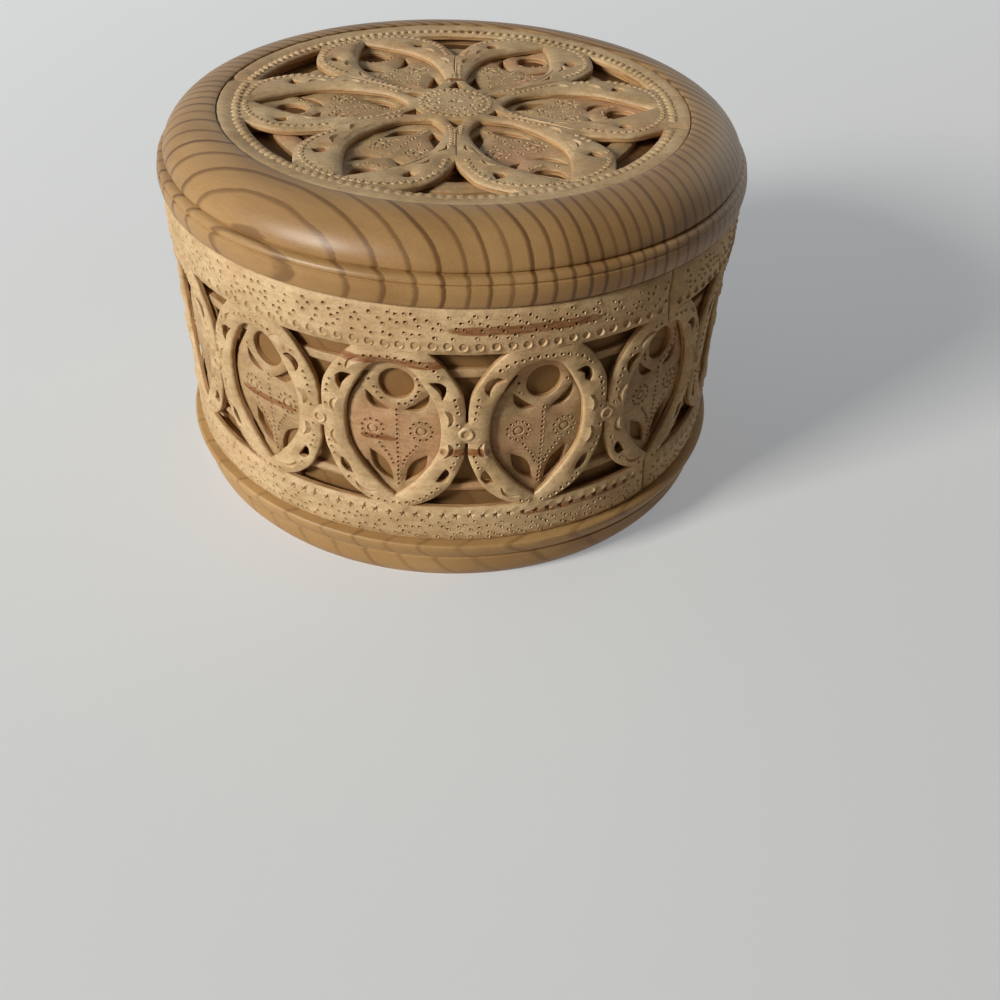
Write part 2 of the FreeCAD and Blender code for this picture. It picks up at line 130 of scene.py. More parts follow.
class PineFinish(bpy.types.PropertyGroup):
    """Colours of the pine."""

    early: colour("Early wood", "Pale wood grown in spring", 188, 152, 101)
    late: colour("Late wood", "Dark line grown in late summer", 91, 56, 12)
    cloud: colour("Cloud", "Darker clouds in the pale wood", 150, 114, 68)


class StageLook(bpy.types.PropertyGroup):
    """Floor and light."""

    floor: colour("Floor", "Pale floor", 193, 195, 192)
    bounce: colour("Bounce", "Light that the floor throws back at the box", 186, 168, 143)
    key: bpy.props.FloatProperty(
        name="Key light", description="Power of the soft lamp", default=28.6, unit="POWER")
    fill: bpy.props.FloatProperty(
        name="Fill light", description="Strength of the light from all round", default=0.03)
    glow: bpy.props.FloatProperty(
        name="Floor brightness", description="How much paler the floor looks than its light makes it",
        default=0.275)


# ---------------------------------------------------------------- outlines

TINY = 1e-9
SHARPEST = 0.6


def smooth_line(points, step):
    """Points about a step apart along a smooth line through the given ones."""
    given = np.array(points, float)
    if len(given) == 2:
        curve = given
    else:
        guide = np.vstack([2 * given[0] - given[1], given, 2 * given[-1] - given[-2]])
        t = np.linspace(0, 1, 12, endpoint=False)[:, None]
        spans = [0.5 * (2 * b + (c - a) * t + (2 * a - 5 * b + 4 * c - d) * t ** 2
                        + (3 * b - a - 3 * c + d) * t ** 3)
                 for a, b, c, d in zip(guide, guide[1:], guide[2:], guide[3:])]
        curve = np.vstack(spans + [given[-1:]])
    run = np.concatenate([[0], np.cumsum(np.hypot(*np.diff(curve, axis=0).T))])
    at = np.linspace(0, run[-1], max(1, round(run[-1] / step)) + 1)
    return np.column_stack([np.interp(at, run, curve[:, k]) for k in (0, 1)])


def outline(runs, step):
    """A closed outline made of smooth runs that meet at corners, anticlockwise."""
    return anticlockwise(np.vstack([smooth_line(run, step)[:-1] for run in runs]))


def anticlockwise(loop):
    """The same loop, turned round if it runs clockwise."""
    x, y = loop.T
    area = (x * np.roll(y, -1) - y * np.roll(x, -1)).sum()
    return loop if area > 0 else loop[::-1]


def mirror(run, side=(-1, 1)):
    """The same run on the other side of the middle line, drawn the other way."""
    return [(x * side[0], y * side[1]) for x, y in reversed(run)]


def both_sides(run):
    """A run above a level middle line, and the same run below it."""
    return [run, mirror(run, (1, -1))]


def arc(x, y, radius, start, finish, count):
    """Points on a part of a circle, with angles in degrees."""
    angles = np.radians(np.linspace(start, finish, count))
    return list(zip(x + radius * np.cos(angles), y + radius * np.sin(angles)))


def circle(radius, count):
    """Points all round the middle."""
    return arc(0, 0, radius, 0, 360 - 360 / count, count)


def moved(loop, x, y, turn=0.0, size=1.0, flip=False):
    """A loop mirrored, scaled, turned in degrees and moved."""
    loop = np.array(loop, float) * size
    if flip:
        loop = loop * (-1, 1)
    c, s = math.cos(math.radians(turn)), math.sin(math.radians(turn))
    return loop @ np.array([[c, s], [-s, c]]) + (x, y)


def turned(points, degrees):
    """Points turned about the middle of the lid."""
    return moved(points, 0, 0, degrees)


def unit(rows):
    """Each row as an arrow of length 1."""
    return rows / np.maximum(np.hypot(*rows.T), TINY)[:, None]


def grown(loop, distance):
    """An anticlockwise loop moved outwards by a distance, or inwards where it is negative."""
    ahead = unit(np.roll(loop, -1, 0) - loop)
    normal = np.column_stack([ahead[:, 1], -ahead[:, 0]])
    both = unit(normal + np.roll(normal, 1, 0))
    reach = np.clip((both * normal).sum(1), SHARPEST, 1)
    return loop + both * (distance / reach)[:, None]


def inside(points, loop):
    """Which points lie inside a loop."""
    x, y = np.asarray(points).T
    hit = np.zeros(len(x), bool)
    for (x1, y1), (x2, y2) in zip(loop, np.roll(loop, -1, 0)):
        if y1 != y2:
            hit ^= ((y1 > y) != (y2 > y)) & (x < (x2 - x1) * (y - y1) / (y2 - y1) + x1)
    return hit


def search_tree(points):
    """Flat points, ready to be asked which of them is nearest to a place."""
    near = kdtree.KDTree(len(points))
    for i, (x, y) in enumerate(points):
        near.insert((x, y, 0), i)
    near.balance()
    return near


# ---------------------------------------------------------------- stamps

def model_stamp(sides, rings, peak, star=1.0, painted_shading=1.0, stretch=1.0, lean=0.0):
    """Model one stamp's mark in the bark, ring by ring from its rim to its middle.

    A ring is (radius, height) in millimetres. Every other corner of the rim is drawn in by star.
    Painted shading says how much painted shade darkens the mark's hollows and how much painted highlight
    pales its raised lips, stretch how much longer than wide it is, and lean how much higher its raised
    parts are on one side, as from a tool that came in aslant.
    """
    bpy.ops.object.select_all(action="DESELECT")
    bpy.ops.mesh.primitive_circle_add(vertices=sides, radius=rings[0][0], fill_type="NGON")
    mark = bpy.context.object
    for vertex in list(mark.data.vertices)[::2]:
        vertex.co.xy *= star
    bpy.ops.object.mode_set(mode="EDIT")
    bpy.ops.mesh.select_all(action="SELECT")
    for (radius, depth), (next_radius, next_depth) in zip(rings, rings[1:]):
        bpy.ops.mesh.extrude_region_move(
            TRANSFORM_OT_translate={"value": (0, 0, next_depth - depth)})
        share = next_radius / radius
        bpy.ops.transform.resize(value=(share, share, 1), center_override=(0, 0, next_depth))
    bpy.ops.mesh.poke(offset=0)
    bpy.ops.mesh.select_all(action="SELECT")
    bpy.ops.transform.resize(value=(stretch, 1, 1), center_override=(0, 0, 0))
    bpy.ops.object.mode_set(mode="OBJECT")
    points = np.array([vertex.co[:] for vertex in mark.data.vertices])
    points[:, 2] += rings[0][1]
    points[-1, 2] = peak
    raised = points[sides:, 2] > 0
    points[sides:, 2] *= np.where(raised, 1 + lean * points[sides:, 0] / rings[0][0], 1)
    faces = [tuple(face.vertices) for face in mark.data.polygons if max(face.vertices) >= sides]
    mesh = mark.data
    bpy.data.objects.remove(mark)
    bpy.data.meshes.remove(mesh)
    rim = np.argsort(np.arctan2(points[:sides, 1], points[:sides, 0]))
    return {"points": points, "faces": faces, "rim": [int(i) for i in rim], "radius": rings[0][0],
            "painted_shading": painted_shading}


def make_stamps():
    """Model each stamp once."""
    return {
        "dot": model_stamp(6, [(0.42, 0.0), (0.31, 0.05), (0.2, -0.2)], -0.4, lean=1.5),
        "ring": model_stamp(10, [(0.84, 0.0), (0.65, 0.08), (0.5, -0.22), (0.28, -0.2)], -0.18,
                            painted_shading=0.75, lean=1.6),
        "star": model_stamp(10, [(0.86, 0.06), (0.4, -0.22)], -0.46, star=0.5, painted_shading=0.6),
        "boss": model_stamp(16, [(1.17, -0.1), (0.95, 0.17), (0.72, 0.12), (0.56, -0.14), (0.3, -0.12)],
                            -0.08, painted_shading=0.6),
        "flower": model_stamp(12, [(0.9, 0.05), (0.72, -0.22), (0.52, 0.02), (0.3, 0.06)], 0.06,
                              painted_shading=0.6),
        "bead": model_stamp(8, [(0.6, -0.2), (0.44, 0.04), (0.22, 0.13)], 0.15, painted_shading=0.5,
                            stretch=1.22),
        "pearl": model_stamp(7, [(0.5, -0.12), (0.36, 0.03), (0.17, 0.01)], -0.04, painted_shading=0.7),
    }


class Room:
    """The places on a sheet that are taken, so that no two marks touch."""

    CELL = 3.0

    def __init__(self):
        self.cells = {}

    def near(self, x, y):
        i, j = int(x // self.CELL), int(y // self.CELL)
        for a in (i - 1, i, i + 1):
            for b in (j - 1, j, j + 1):
                yield from self.cells.get((a, b), ())

    def free(self, x, y, radius):
        return all((x - a) ** 2 + (y - b) ** 2 >= (radius + r) ** 2 for a, b, r in self.near(x, y))

    def take(self, x, y, radius):
        self.cells.setdefault((int(x // self.CELL), int(y // self.CELL)), []).append((x, y, radius))


# ---------------------------------------------------------------- sheets of bark

class Bark:
    """A sheet of bark laid out flat in millimetres, to be cut, stamped and then set in its place."""

    # An eased edge, ring by ring: how far in it still lies and how deep, as shares of the ease.
    EASE_STEPS = ((0.6, 0.17), (0.22, 0.52), (0.0, 1.1))
    HAND_SHAKE = 0.004
    SAG, SAG_REACH = 0.34, 1.6
    WAVE, WAVE_SCALE = 0.07, (0.11, 0.11, 7.3)
    RIPPLE, RIPPLE_SCALE = 0.1, (0.7, 0.9, 3.1)
    FACE_STEP, BACK_STEP = 1.0, 3.2
    GOUGE_STEP, GOUGE_KEEP, GOUGE_TAPER, GOUGE_STAIN = 0.55, 0.1, 0.6, 0.42
    GOUGE_SLANT = 0.22      # how far the groove's floor lies off its middle, as a share of its width
    LONG_RIM = 13           # a mark with at least so many points on its rim has no one middle
    FAR_AWAY = (1e6, 1e6, 0.0)

    def __init__(self, border, thickness, ease, seed, dips=True):
        self.thickness = thickness
        self.dips = dips
        self.room = Room()
        self.cuts = []
        self.marks = []
        self.seed = seed
        self.shake = np.random.default_rng(seed)
        self.cut(border, ease, border=True)
        self.low, self.high = self.cuts[0]["rim"].min(0), self.cuts[0]["rim"].max(0)

    def cut(self, loop, ease, border=False):
        """Cut along an outline, with the bark's upper edge eased."""
        loop = anticlockwise(np.asarray(loop, float))
        loop = loop + self.shake.uniform(-self.HAND_SHAKE, self.HAND_SHAKE, loop.shape)
        side = -1 if border else 1
        rim = grown(loop, side * ease)
        self.cuts.append({"loop": loop, "rim": rim, "ease": ease, "side": side})
        for x, y in smooth_line(np.vstack([rim, rim[:1]]), 0.35):
            self.room.take(x, y, 0.1)
        if not border:
            low, high = loop.min(0), loop.max(0)
            grid = np.array([(x, y) for x in np.arange(low[0], high[0], 0.6)
                             for y in np.arange(low[1], high[1], 0.6)])
            for x, y in grid[inside(grid, loop)]:
                self.room.take(x, y, 0.3)

    def press(self, stamp, x, y, turn=0.0, size=1.0, depth=1.0, keep=0.14):
        """Press a stamp into the sheet if there is room for it."""
        radius = stamp["radius"] * size
        if not all(low + radius < at < high - radius
                   for low, at, high in zip(self.low, (x, y), self.high)):
            return
        if not self.room.free(x, y, radius + keep):
            return
        self.room.take(x, y, radius + keep / 2)
        points = stamp["points"].copy()
        points[:, :2] = moved(points[:, :2], x, y, turn, size)
        points[:, 2] *= depth
        self.marks.append((points, stamp["faces"], stamp["rim"], stamp["painted_shading"]))

    def gouge(self, line, width, depth, lip=0.0):
        """Press a tapered groove along a line, steep on its left and rising softly on its right."""
        middle = smooth_line(line, self.GOUGE_STEP)
        ahead = unit(np.gradient(middle, axis=0))
        side = np.column_stack([-ahead[:, 1], ahead[:, 0]])
        share = np.sin(np.linspace(0, math.pi, len(middle)))[:, None] ** self.GOUGE_TAPER
        left, right = middle + side * share * width / 2, middle - side * share * width / 2
        taken = smooth_line(np.vstack([left, right[::-1]]), 0.2)
        if not all(self.room.free(x, y, self.GOUGE_KEEP) for x, y in taken):
            return
        for x, y in taken:
            self.room.take(x, y, 0.08)
        inner = len(middle) - 2
        floor = middle[1:-1] + side[1:-1] * share[1:-1] * width * self.GOUGE_SLANT
        heights = np.concatenate([np.zeros(inner + 2), np.full(inner, lip), np.full(inner, -depth)])
        points = np.column_stack([np.vstack([left, right[-2:0:-1], floor]), heights])
        first = inner + 2
        rim = list(range(first + inner))
        floor_at = [0] + [2 * inner + 2 + i for i in range(inner)] + [inner + 1]
        right_at = [0] + [first + inner - 1 - i for i in range(inner)] + [inner + 1]
        faces = []
        for edge in (list(range(inner + 2)), right_at):
            for i in range(inner + 1):
                face = (edge[i], edge[i + 1], floor_at[i + 1], floor_at[i])
                faces.append(tuple(dict.fromkeys(face)))
        self.marks.append((points, faces, rim[::-1], self.GOUGE_STAIN))

    def sag(self, points, nearest):
        """How far the face lies below its flat level: it dips to its cut edges and waves a little."""
        low = []
        for x, y in points:
            away = min(nearest.find((x, y, 0))[2], self.SAG_REACH)
            wave, ripple = (noise.noise(Vector((x * a, y * b, self.seed * c)))
                            for a, b, c in (self.WAVE_SCALE, self.RIPPLE_SCALE))
            low.append(self.SAG * (1 - away / self.SAG_REACH) ** 2 + self.WAVE * (0.5 + 0.5 * wave)
                       + self.RIPPLE * ripple)
        return -np.array(low)

    @staticmethod
    def lattice(step, loops, centres, margin):
        """Points spread evenly over the sheet, clear of every outline and mark."""
        (x0, y0), (x1, y1) = loops[0].min(0), loops[0].max(0)
        rows = []
        for row, y in enumerate(np.arange(y0, y1, step * math.sqrt(3) / 2)):
            x = np.arange(x0 + step * (0.5 if row % 2 else 0.0), x1, step)
            rows.append(np.column_stack([x, np.full_like(x, y)]))
        points = np.vstack(rows)
        keep = inside(points, loops[0])
        for loop in loops[1:]:
            low, high = loop.min(0), loop.max(0)
            box = np.where(((points > low) & (points < high)).all(1) & keep)[0]
            if len(box):
                keep[box] &= ~inside(points[box], loop)
        near = search_tree(np.vstack(list(loops) + [centres[:, :2]]))
        border = sum(len(loop) for loop in loops)
        clear = [point for point in points[keep]
                 if all(d > (margin if i < border else centres[i - border, 2] + margin * 0.6)
                        for _, i, d in near.find_n((*point, 0), 3))]
        return np.array(clear)

    @staticmethod
    def skin(loops, inner):
        """Triangles between outlines, with none inside a hole or outside the border."""
        points = np.vstack(list(loops) + [inner])
        owner = np.concatenate([np.full(len(loop), k) for k, loop in enumerate(loops)]
                               + [np.full(len(inner), -1)])
        edges, start = [], 0
        for loop in loops:
            count = len(loop)
            edges += [(start + i, start + (i + 1) % count) for i in range(count)]
            start += count
        found = delaunay_2d_cdt([Vector(point) for point in points], edges, [], 1, 1e-6)
        source = [origin[0] if origin else -1 for origin in found[3]]
        if len(found[0]) != len(points) or -1 in source:
            crossed = [tuple(round(c, 2) for c in point) for point, origin in zip(found[0], found[3])
                       if len(origin) != 1]
            raise RuntimeError(f"outlines touch at {crossed[:12]}")
        faces = np.array([[source[i] for i in face] for face in found[2]])
        owners = owner[faces]
        same = (owners[:, 0] == owners[:, 1]) & (owners[:, 1] == owners[:, 2]) & (owners[:, 0] >= 0)
        middle = points[faces].mean(1)
        keep = np.ones(len(faces), bool)
        of_loop = {}
        for at in np.where(same)[0]:
            of_loop.setdefault(int(owners[at, 0]), []).append(at)
        for k, at in of_loop.items():
            hit = inside(middle[at], loops[k])
            keep[at] = hit if k == 0 else ~hit
        return points, faces[keep]

    def mark_middle(self, rim):
        """A mark's middle and how far it reaches."""
        if len(rim) >= self.LONG_RIM:
            return self.FAR_AWAY
        middle = rim.mean(0)
        return (*middle, np.hypot(*(rim - middle).T).max())

    def build(self, name, place):
        """Make the sheet's mesh: its face with every mark, its cut edges and its back."""
        rims = [cut["rim"] for cut in self.cuts]
        nearest = search_tree(np.vstack(rims if self.dips else rims[1:]))
        mark_rims = [points[rim, :2] for points, _, rim, _ in self.marks]
        centres = np.array([self.mark_middle(rim) for rim in mark_rims] or [self.FAR_AWAY])
        loops = rims + [anticlockwise(rim) for rim in mark_rims]
        inner = self.lattice(self.FACE_STEP, loops, centres, self.FACE_STEP * 0.5)
        points, faces = self.skin(loops, inner)
        points = np.column_stack([points, self.sag(points, nearest)])
        dents = [np.zeros(len(points))]
        vertices, polygons, edge_faces = [points], [tuple(face) for face in faces], []
        total, start = len(points), sum(len(rim) for rim in rims)
        for (mark, mark_faces, rim, painted_shading), loop in zip(self.marks, loops[len(rims):]):
            ordered = rim if np.allclose(mark[rim[0], :2], loop[0]) else rim[::-1]
            on_rim = slice(start, start + len(loop))
            level = points[on_rim, 2].mean()
            points[on_rim, 2] = level + mark[ordered, 2]
            # The dent is the mark's depth scaled by its painted shading: the material paints shade into its
            # hollows and a highlight onto its lips.
            dents[0][on_rim] = mark[ordered, 2] * painted_shading
            on_edge = set(ordered)
            others = [i for i in range(len(mark)) if i not in on_edge]
            index = {old: start + i for i, old in enumerate(ordered)}
            index.update({old: total + i for i, old in enumerate(others)})
            vertices.append(mark[others] + (0, 0, level))
            dents.append(mark[others, 2] * painted_shading)
            polygons += [tuple(index[i] for i in face) for face in mark_faces]
            total += len(others)
            start += len(loop)
        back_loops = [cut["loop"] for cut in self.cuts]
        back_inner = self.lattice(self.BACK_STEP, back_loops, np.array([self.FAR_AWAY]),
                                  self.BACK_STEP * 0.4)
        back, back_faces = self.skin(back_loops, back_inner)
        back_at = total
        vertices.append(np.column_stack([back, np.full(len(back), -self.thickness)]))
        total += len(back)
        polygons += [tuple(back_at + i for i in reversed(face)) for face in back_faces]
        start = 0
        for cut in self.cuts:
            count = len(cut["loop"])
            previous = list(range(start, start + count))
            top = points[previous, 2]
            sections = []
            for share, fall in self.EASE_STEPS:
                ring = grown(cut["loop"], cut["side"] * cut["ease"] * share) if share else cut["loop"]
                vertices.append(np.column_stack([ring, top - cut["ease"] * fall]))
                sections.append(list(range(total, total + count)))
                total += count
            sections.append([back_at + start + i for i in range(count)])
            for ring in sections:
                for i in range(count):
                    j = (i + 1) % count
                    if ring is sections[-1]:
                        edge_faces.append(len(polygons))
                    polygons.append((previous[i], previous[j], ring[j], ring[i]))
                previous = ring
            start += count
        flat, dent = np.vstack(vertices), np.concatenate(dents)
        dent = np.pad(dent, (0, len(flat) - len(dent)))
        return sheet_object(name, flat, dent, place(flat), polygons, edge_faces)


def sheet_object(name, flat, dent, places, polygons, edge_faces):
    """A closed mesh that remembers where each point lay on the flat sheet and how far it is pressed."""
    mesh = bpy.data.meshes.new(name)
    mesh.from_pydata((places * MM).tolist(), [], polygons)
    layer = mesh.attributes.new("flat", "FLOAT_VECTOR", "POINT")
    layer.data.foreach_set("vector", flat.astype(np.float32).ravel())
    layer = mesh.attributes.new("dent", "FLOAT", "POINT")
    layer.data.foreach_set("value", dent.astype(np.float32))
    material = np.zeros(len(polygons), np.int32)
    material[edge_faces] = 1
    mesh.polygons.foreach_set("material_index", material)
    sheet = bpy.data.objects.new(name, mesh)
    bpy.context.scene.collection.objects.link(sheet)
    finish_mesh(sheet)
    return sheet


def finish_mesh(item):
    """Turn every face outwards and smooth all but the crisp edges."""
    bpy.ops.object.select_all(action="DESELECT")
    item.select_set(True)
    bpy.context.view_layer.objects.active = item
    bpy.ops.object.mode_set(mode="EDIT")
    bpy.ops.mesh.select_all(action="SELECT")
    bpy.ops.mesh.normals_make_consistent(inside=False)
    bpy.ops.object.mode_set(mode="OBJECT")
    bpy.ops.object.shade_smooth_by_angle(angle=SMOOTH_ANGLE)


# ---------------------------------------------------------------- turned pine

def turn_pine(name, section):
    """Draw a half section corner by corner and spin it about the box's axis."""
    bpy.ops.object.select_all(action="DESELECT")
    bpy.ops.mesh.primitive_plane_add(size=MM, location=(0, 0, 0))
    item = bpy.context.object
    item.name = item.data.name = name
    bpy.ops.object.mode_set(mode="EDIT")
    bpy.ops.mesh.select_all(action="SELECT")
    bpy.ops.mesh.merge(type="COLLAPSE")
    bpy.ops.transform.translate(value=(section[0][0] * MM, 0, section[0][1] * MM))
    for (x, z), (next_x, next_z) in zip(section, section[1:]):
        bpy.ops.mesh.extrude_region_move(
            TRANSFORM_OT_translate={"value": ((next_x - x) * MM, 0, (next_z - z) * MM)})
    bpy.ops.mesh.select_all(action="SELECT")
    bpy.ops.mesh.spin(steps=TURN_STEPS, angle=2 * math.pi, center=(0, 0, 0), axis=(0, 0, 1))
    bpy.ops.mesh.select_all(action="SELECT")
    bpy.ops.mesh.remove_doubles(threshold=WELD)
    bpy.ops.object.mode_set(mode="OBJECT")
    finish_mesh(item)
    return item


def rounded(points, step):
    """A smooth stretch of a section that goes on from its first point, as corners to draw through."""
    return [tuple(point) for point in smooth_line(points, step)[1:]]


# ---------------------------------------------------------------- shader building

def feed(tree, item, inputs):
    """Set a node's inputs, each as a number or a colour or by a link."""
    for key, given in inputs.items():
        given, socket = getattr(given, "socket", given), item.inputs[key]
        if isinstance(given, bpy.types.NodeSocket):
            tree.links.new(given, socket)
        else:
            socket.default_value = (*given, 1) if socket.type == "RGBA" else given


def add(tree, kind, inputs=None, **settings):
    """Add a node with its settings and its inputs."""
    item = tree.nodes.new(kind)
    for key, given in settings.items():
        setattr(item, key, given)
    feed(tree, item, inputs or {})
    return item


def value(tree, kind, inputs=None, output=0, **settings):
    """Add a node and take one of its outputs."""
    return Value(tree, add(tree, kind, inputs, **settings).outputs[output])


class Value:
    """Something that changes over the surface. Arithmetic on a number adds the nodes for it."""

    def __init__(self, tree, socket):
        self.tree, self.socket = tree, socket

    def calc(self, operation, *others):
        """One step of arithmetic."""
        return value(self.tree, "ShaderNodeMath", dict(enumerate((self, *others))), operation=operation)

    def __add__(self, other):
        return self.calc("ADD", other)

    def __sub__(self, other):
        return self.calc("SUBTRACT", other)

    def __mul__(self, other):
        return self.calc("MULTIPLY", other)

    def __truediv__(self, other):
        return self.calc("DIVIDE", other)

    def ramp(self, low, high):
        """The number stretched so that low becomes 0 and high becomes 1, eased at both ends."""
        return value(self.tree, "ShaderNodeMapRange", {"Value": self, "From Min": low, "From Max": high},
                     interpolation_type="SMOOTHSTEP")


def places(tree, operation, *inputs, output=0):
    """One step of arithmetic on positions."""
    return value(tree, "ShaderNodeVectorMath", dict(enumerate(inputs)), output, operation=operation)


def blend(tree, share, first, second, kind="MIX"):
    """Mix two colours by a share."""
    return value(tree, "ShaderNodeMix", {0: share, 6: first, 7: second}, 2, data_type="RGBA",
                 blend_type=kind)


def speckle(tree, place, scale, detail=3.0, rough=0.55, output=0):
    """Plain noise with about so many features to a unit along each axis."""
    place = value(tree, "ShaderNodeMapping", {"Vector": place, "Scale": scale})
    return value(tree, "ShaderNodeTexNoise",
                 {"Vector": place, "Scale": 1.0, "Detail": detail, "Roughness": rough}, output)


def bump(tree, strength, distance, height):
    """Fine relief, its height in metres."""
    return value(tree, "ShaderNodeBump", {"Strength": strength, "Distance": distance, "Height": height})


def new_group(name, inputs, outputs):
    """An empty node group. Returns its tree, what comes in by name, and the node that it ends in."""
    tree = bpy.data.node_groups.new(name, "ShaderNodeTree")
    for title, default in inputs.items():
        kind = "NodeSocketVector" if isinstance(default, tuple) else "NodeSocketFloat"
        tree.interface.new_socket(title, in_out="INPUT", socket_type=kind).default_value = default
    for title in outputs:
        tree.interface.new_socket(title, in_out="OUTPUT", socket_type="NodeSocketFloat")
    enter = tree.nodes.new("NodeGroupInput")
    given = {title: Value(tree, enter.outputs[title]) for title in inputs}
    return tree, given, tree.nodes.new("NodeGroupOutput")


def use_group(tree, make, inputs):
    """Place a node group in a tree, made when it is first asked for. Returns its outputs by name."""
    if make.__name__ not in bpy.data.node_groups:
        make(make.__name__)
    item = add(tree, "ShaderNodeGroup", inputs, node_tree=bpy.data.node_groups[make.__name__])
    return {socket.name: Value(tree, socket) for socket in item.outputs}


def bark_streak(name):
    """A breathing pore of the tree: a long thin mark across the bark, ragged at its edges."""
    tree, given, leave = new_group(name, {
        "Flat": (0.0, 0.0, 0.0), "Along": 0.0, "Up": 0.0, "Half Length": 5.0, "Half Height": 0.4},
        ["Mask"])
    parts = add(tree, "ShaderNodeSeparateXYZ", {0: given["Flat"]}).outputs
    along, up = Value(tree, parts[0]), Value(tree, parts[1])
    ragged = speckle(tree, given["Flat"], (0.5, 2.2, 1))
    drift = ragged * 0.9 - 0.45
    along = (along - given["Along"]) / given["Half Length"]
    up = (up - given["Up"] + drift * 0.5) / given["Half Height"]
    far = along.calc("ABSOLUTE").calc("POWER", 6.0) + up.calc("ABSOLUTE").calc("POWER", 2.0)
    mask = (far + drift).ramp(1.25, 0.6) * (ragged.ramp(0.35, 0.6) * 0.35 + 0.65)
    feed(tree, leave, {"Mask": mask})


def bark_grain(name):
    """Clouds, wrinkles and flecks of a bark face, from its place on the flat sheet in millimetres."""
    tree, given, leave = new_group(name, {"Flat": (0.0, 0.0, 0.0), "Offset": (0.0, 0.0, 0.0)},
                                   ["Cloud", "Rosy", "Fleck", "Height"])
    flat = places(tree, "ADD", given["Flat"], given["Offset"])
    wrinkle = speckle(tree, flat, (0.55, 1.15, 1.0), 4.0, 0.6)
    grain = speckle(tree, flat, (2.4, 2.9, 2.0), 4.0, 0.65)
    feed(tree, leave, {
        "Cloud": speckle(tree, flat, (0.1, 0.14, 0.1), 5.0, 0.6).ramp(0.38, 0.64),
        "Rosy": speckle(tree, flat, (0.06, 0.1, 0.1), 4.0, 0.6).ramp(0.46, 0.66),
        "Fleck": wrinkle * 0.5 + grain * 0.5,
        "Height": wrinkle * 0.6 + grain * 0.4})


def growth_rings(name):
    """Growth rings of a pine log, met as rounds about a centre: wide near it, closer farther out."""
    fibre_turn = math.radians(38)
    first_rings, closing = 0.05, 0.00225
    tree, given, leave = new_group(name, {
        "Place": (0.0, 0.0, 0.0), "Centre": (0.0, 0.0, 0.0), "Spread": 1.0, "Clear": 0.0},
        ["Late", "Fibre", "Cloud"])
    place = given["Place"]
    along = value(tree, "ShaderNodeMapping", {"Vector": place, "Rotation": (0, 0, fibre_turn)})
    bend = speckle(tree, place, (0.04, 0.04, 0.04), 2.0, 0.5, "Color")
    bend = places(tree, "MULTIPLY_ADD", bend, (4.0, 4.0, 4.0), (-2.0, -2.0, -2.0))
    away = places(tree, "ADD", places(tree, "SUBTRACT", place, given["Centre"]), bend)
    away = places(tree, "LENGTH", away, output="Value")
    out = away * given["Spread"]
    fine = speckle(tree, along, (0.35, 1.6, 1.6))
    age = out * first_rings + out * out * closing + (fine * 0.08 - 0.13)
    # The dark line at the end of each year keeps its width in millimetres.
    rate = (out * (2 * closing) + first_rings) * given["Spread"]
    left = (age.calc("FRACT") * -1.0 + 1.0) / rate
    late = left.ramp(0.95, 0.4) * left.ramp(0.0, 0.18)
    beyond = away - given["Clear"]
    late = late * beyond.calc("GREATER_THAN", 0.0) * (beyond.ramp(1.0, 5.0) * 0.35 + 0.65)
    year = value(tree, "ShaderNodeCombineXYZ", {0: age.calc("FLOOR")})
    year = speckle(tree, year, (0.77, 0.77, 0.77), 0.0)
    feed(tree, leave, {
        "Late": late * (year.ramp(0.3, 0.6) * 0.45 + 0.55),
        "Fibre": speckle(tree, along, (0.4, 5.0, 5.0), 3.0, 0.6),
        "Cloud": speckle(tree, along, (0.03, 0.09, 0.09), 4.0).ramp(0.36, 0.66)})


def new_material(name):
    """A material with an empty tree and its output. Returns both and the shader."""
    material = bpy.data.materials.new(name)
    material.use_nodes = True
    tree = material.node_tree
    tree.nodes.clear()
    shader = add(tree, "ShaderNodeBsdfPrincipled")
    add(tree, "ShaderNodeOutputMaterial", {0: shader.outputs[0]})
    return material, tree, shader


def bark_face(name, look, offset, rosy, shady, inner_painted_shade, streaks):
    """The bark's face: warm tan with clouds, wrinkles and flecks; painted shade in its hollows and on an
    inner sheet, and a painted highlight on raised lips.

    A streak is (along, up, half length, half height) on the flat sheet.
    """
    material, tree, shader = new_material(name)
    flat = value(tree, "ShaderNodeAttribute", {}, "Vector", attribute_name="flat")
    dent = value(tree, "ShaderNodeAttribute", {}, "Fac", attribute_name="dent")
    grain = use_group(tree, bark_grain, {"Flat": flat, "Offset": offset})
    # Shady pushes the face towards the shade colour. On an inner sheet, which lies under the outer one, this
    # is painted shade.
    base = blend(tree, grain["Cloud"] * 0.65 + shady, look.face, look.shade)
    base = blend(tree, grain["Rosy"] * rosy, base, look.pink)
    # Painted shade: an inner sheet is darkened towards the hollow colour.
    base = blend(tree, inner_painted_shade, base, look.hollow)
    base = blend(tree, grain["Fleck"].ramp(0.36, 0.6) * -0.4 + 0.4, base, look.shade, "MULTIPLY")
    mask = None
    for streak in streaks:
        titles = ("Along", "Up", "Half Length", "Half Height")
        one = use_group(tree, bark_streak, {"Flat": flat, **dict(zip(titles, streak))})["Mask"]
        mask = mask.calc("MAXIMUM", one) if mask else one
    if mask:
        base = blend(tree, mask, base, look.streak)
    # Painted highlight: the raised lips of the marks are paled towards the face colour.
    base = blend(tree, dent.ramp(0.01, 0.07) * 0.5, base, look.face)
    # Painted shade: the hollows of the marks are darkened towards the hollow colour.
    base = blend(tree, dent.ramp(-0.08, -0.26) * 0.9, base, look.hollow)
    feed(tree, shader, {"Base Color": base, "Roughness": grain["Fleck"] * 0.25 + 0.42,
                        "Specular IOR Level": 0.4, "Normal": bump(tree, 0.85, 0.0002, grain["Height"])})
    return material


